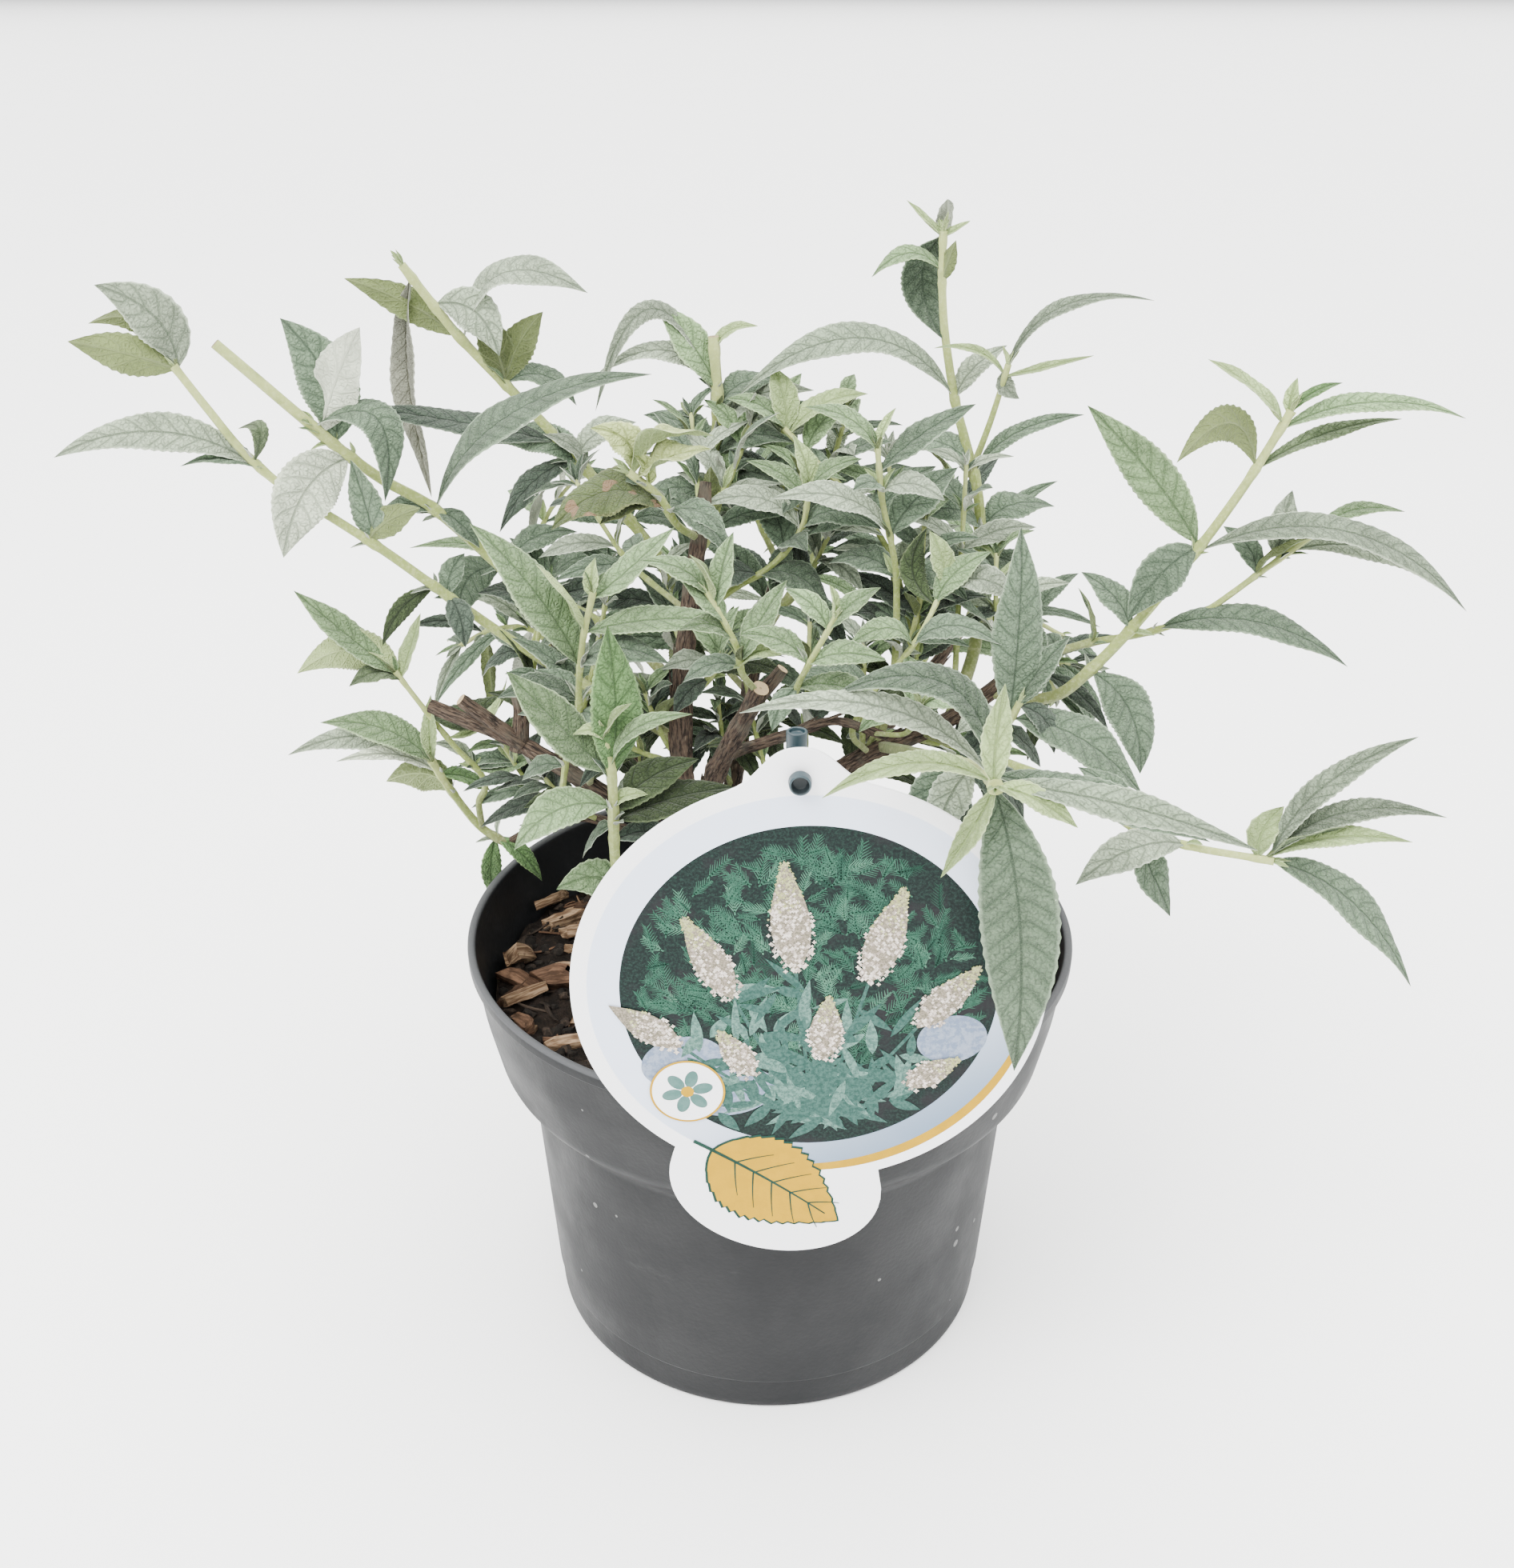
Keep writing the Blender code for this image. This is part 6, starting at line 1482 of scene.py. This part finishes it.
def woody(path, radii, seed, flare=0.0):
    """One limb or stub in bark, with a slightly ragged cut face at its end."""
    path = smooth(path, max(8, int(length_of(np.asarray(path, float)) / BARK_STEP)))
    run = run_of(path)
    share = run / run[-1]
    r = radii[0] + (radii[1] - radii[0]) * share**0.8
    r = r * (1 + flare * np.exp(-run / 9))
    relief = bark_relief(len(path), CUT_SIDES, run, 2 * math.pi * r.mean(), seed)
    last = np.clip((run[-1] - run) / 2.0, 0, 1)[:, None]
    relief = relief * (0.35 + 0.65 * last) - 0.07 * (1 - last)
    tube(bark, path, r, CUT_SIDES, relief, 1)
    return path


for k, (name, (parent, radii, points)) in enumerate(LIMBS.items()):
    limb_paths[name] = woody(points, radii, 7 * k + 3, 0.28 if name == "main_stem" else 0.0)
    for j, (foot, tip, radius) in enumerate(SPURS.get(name, ())):
        woody([foot, np.add(foot, tip) / 2 + (0.3, 0, 0), tip], (radius * 1.2, radius), 101 + 9 * k + j)
rng = np.random.default_rng(SEED + 2)
for name, path in limb_paths.items():  # loose strips of bark, curling off the limb
    first, last = LIMBS[name][1]
    for _ in range(int(length_of(path) / 7)):
        t = rng.uniform(0.05, 0.9)
        here, ahead = along(path, t)
        out = unit(np.cross(ahead, rng.normal(size=3)))
        r = first + (last - first) * t
        size = rng.uniform(5, 15)
        s = np.linspace(0, 1, 7)[:, None]
        lift = rng.uniform(0.1, 0.8) * s**2
        strip = here + out * (r * 0.98 + lift) + ahead * s * size
        strip = strip + np.cross(ahead, out) * rng.uniform(-1, 1) * s
        tube(bark, strip, 0.42 * np.sin(math.pi * np.linspace(0.08, 0.92, 7)) + 0.06, 5)
bark.make(
    "bark_limbs",
    [bark_finish(), cut_wood("Cut wood", (0.22, 0.150, 0.075), (0.40, 0.30, 0.17))],
    "bark", list(LIMBS), sharp=70,
)

# ---------------------------------------------------------------- leaves

FACING = 24.0  # degrees that each blade rolls over on its midrib to show its top
STAND_OFF = 0.35  # gap between a limb and the stem that starts clear of it
NEAR_LIMB = 0.03  # metres, past which the limb isn't looked for
CLEAR_STEPS, CLEAR_WITHIN = 200, 110  # steps of the path that is cleared, how many are tried
ROOT_SUNK = 0.4  # how far a leaf's foot stands inside its stem
MOST_BROAD = 0.38  # a leaf's greatest width as a share of its length
LEAF_STEPS = ((42, 12, 44), (24, 8, 24), (12, 6, 12), (0, 4, 8))  # over a length: across, along
LEAST_PAIRS, VEIN_GAP = 4.0, 6.0  # pairs of side veins at least, and the gap between pairs
SWERVE, NOD_FROM, MOST_NOD = 0.045, 0.72, 0.25  # shares of the length
TOOTH, MOST_TOOTH = 0.05, 0.45  # a tooth's depth, as a share of half the width and in mm
RIM_ROLL, PILLOW_RISE = 0.12, 0.05  # shares of half the width and of the gap between veins
RIB_DEEP, GROOVE_HALF, RIB_HALF = 0.42, 0.7, 0.55  # over the midrib a groove, under it a rib
EDGE_THICK, MORE_THICK = 0.10, 0.26  # of the blade: at its margin, and more at its middle
TWIST = 16.0  # most degrees that a blade turns from foot to tip
THIN_STEM, SHORT_STEM = 1.6, 40.0  # a thin stem's most radius, a short stem's most length
SLIM, SLIM_SHORT = 0.84, 0.62  # shares of its radius that a thin and a short stem keep
STEM_SIDES, STEM_STEP, STEM_KNOTS = 12, 1.6, 12  # sides, length of a ring, points of its path
PATH_STEPS = 120  # points of a shoot's path
SHORT, SHORT_GROWN = 24.0, 1.12  # leaves under this length run out by this much more
BUD_SPREAD = 24.0  # degrees between a shoot and the leaves that close its tip
TUFT_KINDS = ["y", "f", "p", "g"]
greens = Pile()  # the green stems
leaves = {}  # kind: piles of that kind, the last one open


def midrib(base, reach, arch, s):
    """The rib's points and directions: a quadratic bend that rises over its chord."""
    side = np.cross(reach, [0, 0, 1.0])
    lift = unit(np.cross(side, reach)) if np.linalg.norm(side) > 1e-6 else np.array([0, -1.0, 0])
    middle = base + reach * 0.42 + lift * arch * 2
    tip = base + reach
    s = s[:, None]
    here = base * (1 - s) ** 2 + middle * 2 * s * (1 - s) + tip * s * s
    ahead = (middle - base) * 2 * (1 - s) + (tip - middle) * 2 * s
    return here, unit(ahead)


def leaf(kind, base, reach, arch, width, roll, grow=0.5):
    """One leaf as a closed blade round its midrib. At the share s along and u across:
      half width  w(s) = W/2 sin(pi s^0.92)^(0.80 + 0.18 s) on a short stalk, in and out at
                  each tooth
      height      a fold |u| w, less a rolled rim u^4 w, a groove over the midrib, pillows
                  between the side veins, and a wave that grows towards the margin
    and the tip nods over. Veins are the whole numbers of v = s N - 1.2 |u|^1.3, 0.22 on
    from that on one side and 0.22 back on the other; the underside is the top let down by
    the blade's thickness and by a rib under its middle."""
    _, colour, *_, fold, quilt, wave = KINDS[kind]
    length = float(np.linalg.norm(reach)) + 1.5 * abs(arch)
    width = min(width, MOST_BROAD * length)
    cols, rows = next(steps for least, *steps in LEAF_STEPS if length > least)
    pairs = max(LEAST_PAIRS, length / VEIN_GAP)
    s = np.linspace(0, 1, rows + 1)
    u = np.linspace(-1, 1, cols + 1)
    u = np.sign(u) * np.abs(u) ** 0.85
    here, ahead = midrib(base, reach, arch, s)
    across = np.cross([0, 0, 1.0], reach)
    across = unit(across) if np.linalg.norm(across) > 1e-6 else np.array([1.0, 0, 0])
    here = here + across * (rng.uniform(-SWERVE, SWERVE) * length * np.sin(math.pi * s))[:, None]
    roll = math.copysign(1, reach[0]) * (roll + FACING)
    twist = rng.uniform(-1, 1) * TWIST
    wide = turn(across, ahead, roll + twist * (s - 0.35))
    up = np.cross(ahead, wide)
    blade_s = np.clip((s - 0.05) / 0.95, 0, 1)
    half = width / 2 * np.sin(math.pi * blade_s**0.92) ** (0.80 + 0.18 * s)
    stalk = 0.25 + width * 0.018
    half = np.sqrt(half**2 + (stalk * np.clip(1 - s * 1.02, 0.05, 1)) ** 2)
    tooth = np.where(np.arange(rows + 1) % 2, 1.0, -1.0) * np.sin(math.pi * s) ** 0.5
    U, S = np.meshgrid(u, s)
    w = half[:, None]
    rim = np.abs(U) > 0.97
    reach_out = U * w * (1 + rim * tooth[:, None] * min(TOOTH, MOST_TOOTH / max(width, 1)))
    side = np.sign(U) * 0.22
    v = S * pairs - 1.2 * np.abs(U) ** 1.3 + side
    pillow = np.abs(np.sin(math.pi * v)) * (1 - np.abs(U) ** 4) * np.minimum(1, w / 3)
    spacing = length / pairs
    phase = rng.uniform(0, 6.28, 2)
    sway = np.where(U < 0, np.sin(S * 11 + phase[0]), np.sin(S * 12 + phase[1]))
    height = (
        np.abs(U) * w * fold * (1.3 - 0.8 * S)
        - np.abs(U) ** 4 * w * RIM_ROLL
        + pillow * quilt * PILLOW_RISE * spacing
        - RIB_DEEP * np.exp(-((U * w / GROOVE_HALF) ** 2)) * np.minimum(1, w / 2)
        + sway * wave * w * U**2
    )
    nod = np.clip(S - NOD_FROM, 0, 1) ** 2 * length * rng.uniform(0.0, MOST_NOD)
    top = here[:, None] + wide[:, None] * reach_out[..., None] + up[:, None] * (height - nod)[..., None]
    thick = (EDGE_THICK + MORE_THICK * (1 - U**2) * np.minimum(1, w / 2))[..., None]
    rib = RIB_DEEP * np.exp(-((U * w / RIB_HALF) ** 2)) * (1 - S) ** 0.6
    below = top - up[:, None] * (thick + rib[..., None])
    ring = np.concatenate([top, below[:, ::-1]], 1)
    count = 2 * (cols + 1)
    points = ring.reshape(-1, 3)
    faces, places = grid_faces(rows + 1, count)
    cloth = np.concatenate([reach_out, reach_out[:, ::-1]], 1)
    cloth = np.stack([cloth, np.broadcast_to(s[:, None] * length, cloth.shape)], -1)
    veins = np.stack([U, v + 10], -1)
    veins = np.concatenate([veins, veins[:, ::-1]], 1)
    layers = np.concatenate([cloth, veins], -1).reshape(-1, 4)
    under = (places[:, 0, 0] >= cols).astype(int)
    shade = float(np.clip(rng.normal(0, 0.5), -1, 1))
    piles = leaves.setdefault(kind, [Pile()])
    if piles[-1].triangles() > MOST_TRIANGLES:
        piles.append(Pile())
    k = np.arange(cols)
    start = np.stack([k, k + 1, count - 2 - k, count - 1 - k], 1)
    end = start[:, ::-1] + rows * count
    ends = np.vstack([start, end])
    piles[-1].add(points, faces, layers[faces], under, shade, grow)
    piles[-1].add(points, ends, layers[ends], 0, more=True)
    return here


limb_trees = {}  # limb: a search tree over the faces of its solid


def clear_start(path, radius, parent):
    """The path from where a ball of the stem's radius stands clear of its limb."""
    if parent not in limb_trees:
        mesh = frame["nodes"][parent].data
        limb_trees[parent] = BVHTree.FromPolygons(
            [v.co.copy() for v in mesh.vertices], [tuple(f.vertices) for f in mesh.polygons]
        )
    fine = smooth(path, CLEAR_STEPS)
    last = 0
    for i, point in enumerate(fine[:CLEAR_WITHIN]):
        spot = Vector(point) * MM
        near, normal, _, distance = limb_trees[parent].find_nearest(spot, NEAR_LIMB)
        if near is None:
            continue
        if (spot - near).dot(normal) < 0 or distance < (radius + STAND_OFF) * MM:
            last = i
    return fine[last + 1 :]


def young_tip(path, size, kind, count=2):
    """Small leaves in pairs that close over the end of a shoot."""
    here, ahead = along(path, 1.0)
    side = unit(np.cross(ahead, [0.2, 0.1, 1.0]))
    for i in range(count):
        for half in (0, 180):
            out = turn(side, ahead, 90 * i + half + rng.uniform(-15, 15))
            lean = math.radians(BUD_SPREAD * (1 - 0.35 * i) + rng.uniform(-8, 8))
            long = size * (1 - 0.3 * i) * rng.uniform(0.8, 1.15)
            reach = (out * math.sin(lean) + ahead * math.cos(lean)) * long
            leaf(kind, here - ahead * 0.8, reach, long * 0.06, long * 0.3, rng.uniform(-30, 10))


def axil_tuft(path, t, size, kind):
    """Side buds in a leaf's axil: a small pair of leaves, close to the stem."""
    here, ahead = along(path, t)
    side = unit(np.cross(ahead, rng.normal(size=3)))
    for i in range(2):
        out = turn(side, ahead, 180 * i + rng.uniform(-30, 30))
        lean = math.radians(rng.uniform(22, 62))
        long = size * rng.uniform(0.6, 1.15)
        reach = (out * math.sin(lean) + ahead * math.cos(lean)) * long
        leaf(kind, here + out * 0.5, reach, long * 0.1, long * 0.3, rng.uniform(-20, 20))


def green_stem(path, radii, knots, cut=False):
    """A shoot's stem: tapered, a little squared, swollen where leaves stand."""
    rows = max(8, int(length_of(path) / STEM_STEP))
    path = smooth(path[:: len(path) // STEM_KNOTS].tolist() + [path[-1]], rows)
    share = np.linspace(0, 1, rows)
    r = radii[0] + (radii[1] - radii[0]) * share
    span = length_of(path)
    r = r * (SLIM if radii[0] < THIN_STEM else SLIM_SHORT if span < SHORT_STEM else 1)
    near = np.abs(share[:, None] - np.array(knots)).min(1) * span
    r = r * (1 + 0.22 * np.exp(-((near / 1.5) ** 2)))
    a = np.linspace(0, 2 * math.pi, STEM_SIDES, endpoint=False)
    square = np.broadcast_to(0.07 * np.cos(4 * a), (rows, STEM_SIDES))
    tube(greens, path, r, STEM_SIDES, square, int(cut))


BARE_ENDS = ("shoot_bare_left", "shoot_centre_top")
rng = np.random.default_rng(SEED + 3)
for name, (parent, stems) in SHOOTS.items():
    for k, (points, radii, kinds, blades) in enumerate(stems):
        if k:
            path = smooth(points, len(points) + 1)
        else:
            fine = clear_start(points, radii[0], parent)
            count = len(points) + 1
            path = fine[[round(i * (len(fine) - 1) / (count - 1)) for i in range(count)]]
        whole = smooth(points, PATH_STEPS)
        span = length_of(path)
        lead = 1 - span / length_of(whole)
        bare = name in BARE_ENDS and not k
        green_stem(whole, radii, sorted({lead + (1 - lead) * b[0] for b in blades}), bare)
        for kind, (t, dx, dy, dz, arch, width, *rolled) in zip(kinds, blades):
            reach = np.array([dx, dy, dz], float)
            spot, _ = along(path, min(t, 1 - 1.2 / span))
            spot = whole[np.argmin(((whole - spot) ** 2).sum(1))]
            root = spot - unit(reach) * ROOT_SUNK
            if np.linalg.norm(reach) < SHORT:
                reach = reach * SHORT_GROWN
            leaf(kind, root, reach, arch, width, sum(rolled), t)
        if not bare:
            young_tip(whole, rng.uniform(5, 8), rng.choice(["y", "y", "f"]))
        for t in sorted({b[0] for b in blades}):
            if t < 0.9 and rng.random() < 0.75:
                axil_tuft(path, t, rng.uniform(5, 10), rng.choice(TUFT_KINDS))

GRAVITY = np.array([0, 0, -1.0])


def grown_shoot(parent, line, radii, length, spread, phase, kinds, pairs, broad):
    """A shoot of opposite pairs, each a quarter turn on from the last and shorter up
    the stem, every leaf drooping a little of its own length."""
    path = clear_start(line, radii[0], parent)
    whole = smooth(line, PATH_STEPS)
    stations = np.linspace(0.3, 0.97, pairs)
    green_stem(whole, radii, stations)
    for i, t in enumerate(stations):
        here, ahead = along(path, t)
        side = unit(np.cross(ahead, [0, 0, 1.0]))
        grown = length * (1 - 0.45 * (i / (pairs - 1)) ** 1.5)
        for half in (0, 180):
            out = turn(side, ahead, phase + 90 * i + half + rng.uniform(-14, 14))
            lean = math.radians(spread + rng.uniform(-9, 9))
            size = grown * rng.uniform(0.85, 1.08)
            reach = (out * math.sin(lean) + ahead * math.cos(lean)) * size
            reach = reach + GRAVITY * 0.25 * size * rng.uniform(0.6, 1.1)
            kind = kinds[i] if len(kinds) == pairs else str(rng.choice(list(kinds)))
            leaf(kind, here, reach, size * 0.11, size * broad, rng.uniform(-16, 16), t)
        axil_tuft(path, t, rng.uniform(6, 11), rng.choice(TUFT_KINDS))
    return whole


for name, (parent, foot, tip, bow, pairs, length, spread, phase) in GROWN.items():
    foot, tip, bow = (np.array(v, float) for v in (foot, tip, bow))
    line = [foot, foot + (tip - foot) * 0.33 + bow, foot + (tip - foot) * 0.7 + bow * 0.8, tip]
    whole = grown_shoot(parent, line, (1.5, 0.8), length, spread, phase, "gggpdf", pairs, 0.21)
    young_tip(whole, rng.uniform(7, 11), "f", 3)
for parent, foot, tip, pairs, length, phase, kinds in TWIGS:
    foot, tip = (np.array(v, float) for v in (foot, tip))
    out = (tip - foot) * (1, 1, 0) * 0.18
    line = [foot, foot + (tip - foot) * 0.33 + out, foot + (tip - foot) * 0.7 + out * 0.6, tip]
    whole = grown_shoot(parent, line, (1.2, 0.7), length, 56, phase, kinds, pairs, 0.26)
    young_tip(whole, rng.uniform(5, 9), kinds[-1])

shoot_nodes = [*SHOOTS, *GROWN]
greens.make(
    "green_stems",
    [stem_finish(), cut_wood("Cut stem", (0.17, 0.12, 0.055), (0.26, 0.22, 0.12))],
    "foliage", shoot_nodes,
)
for kind, piles in leaves.items():
    name, colour, vein, margin, under, *_ = KINDS[kind]
    finishes = [
        leaf_face(f"Leaf {name}", colour, vein, margin, spots=(0.16, 0.105, 0.060) if kind == "r" else None),
        leaf_face(f"Leaf {name} beneath", *under, under=True),
    ]
    for k, pile in enumerate(piles):
        pile.make(f"leaves_{name}" + (f"_{k + 1}" if k else ""), finishes, "foliage", shoot_nodes, sharp=70)

# ---------------------------------------------------------------- floor and end

FLOOR_RADIUS, FLOOR_LOW = 40, 0.0004
bpy.ops.mesh.primitive_circle_add(
    vertices=96, radius=FLOOR_RADIUS, fill_type="NGON", location=(0, 0, -FLOOR_LOW)
)
floor = bpy.context.object
floor.name = "studio_floor"
paper = Finish("Studio paper", 0.85, 0.2)
paper.colour(paper.mix(paper.noise(3, 2), (0.90, 0.90, 0.90), (0.92, 0.92, 0.92)))
floor.data.materials.append(paper.made)
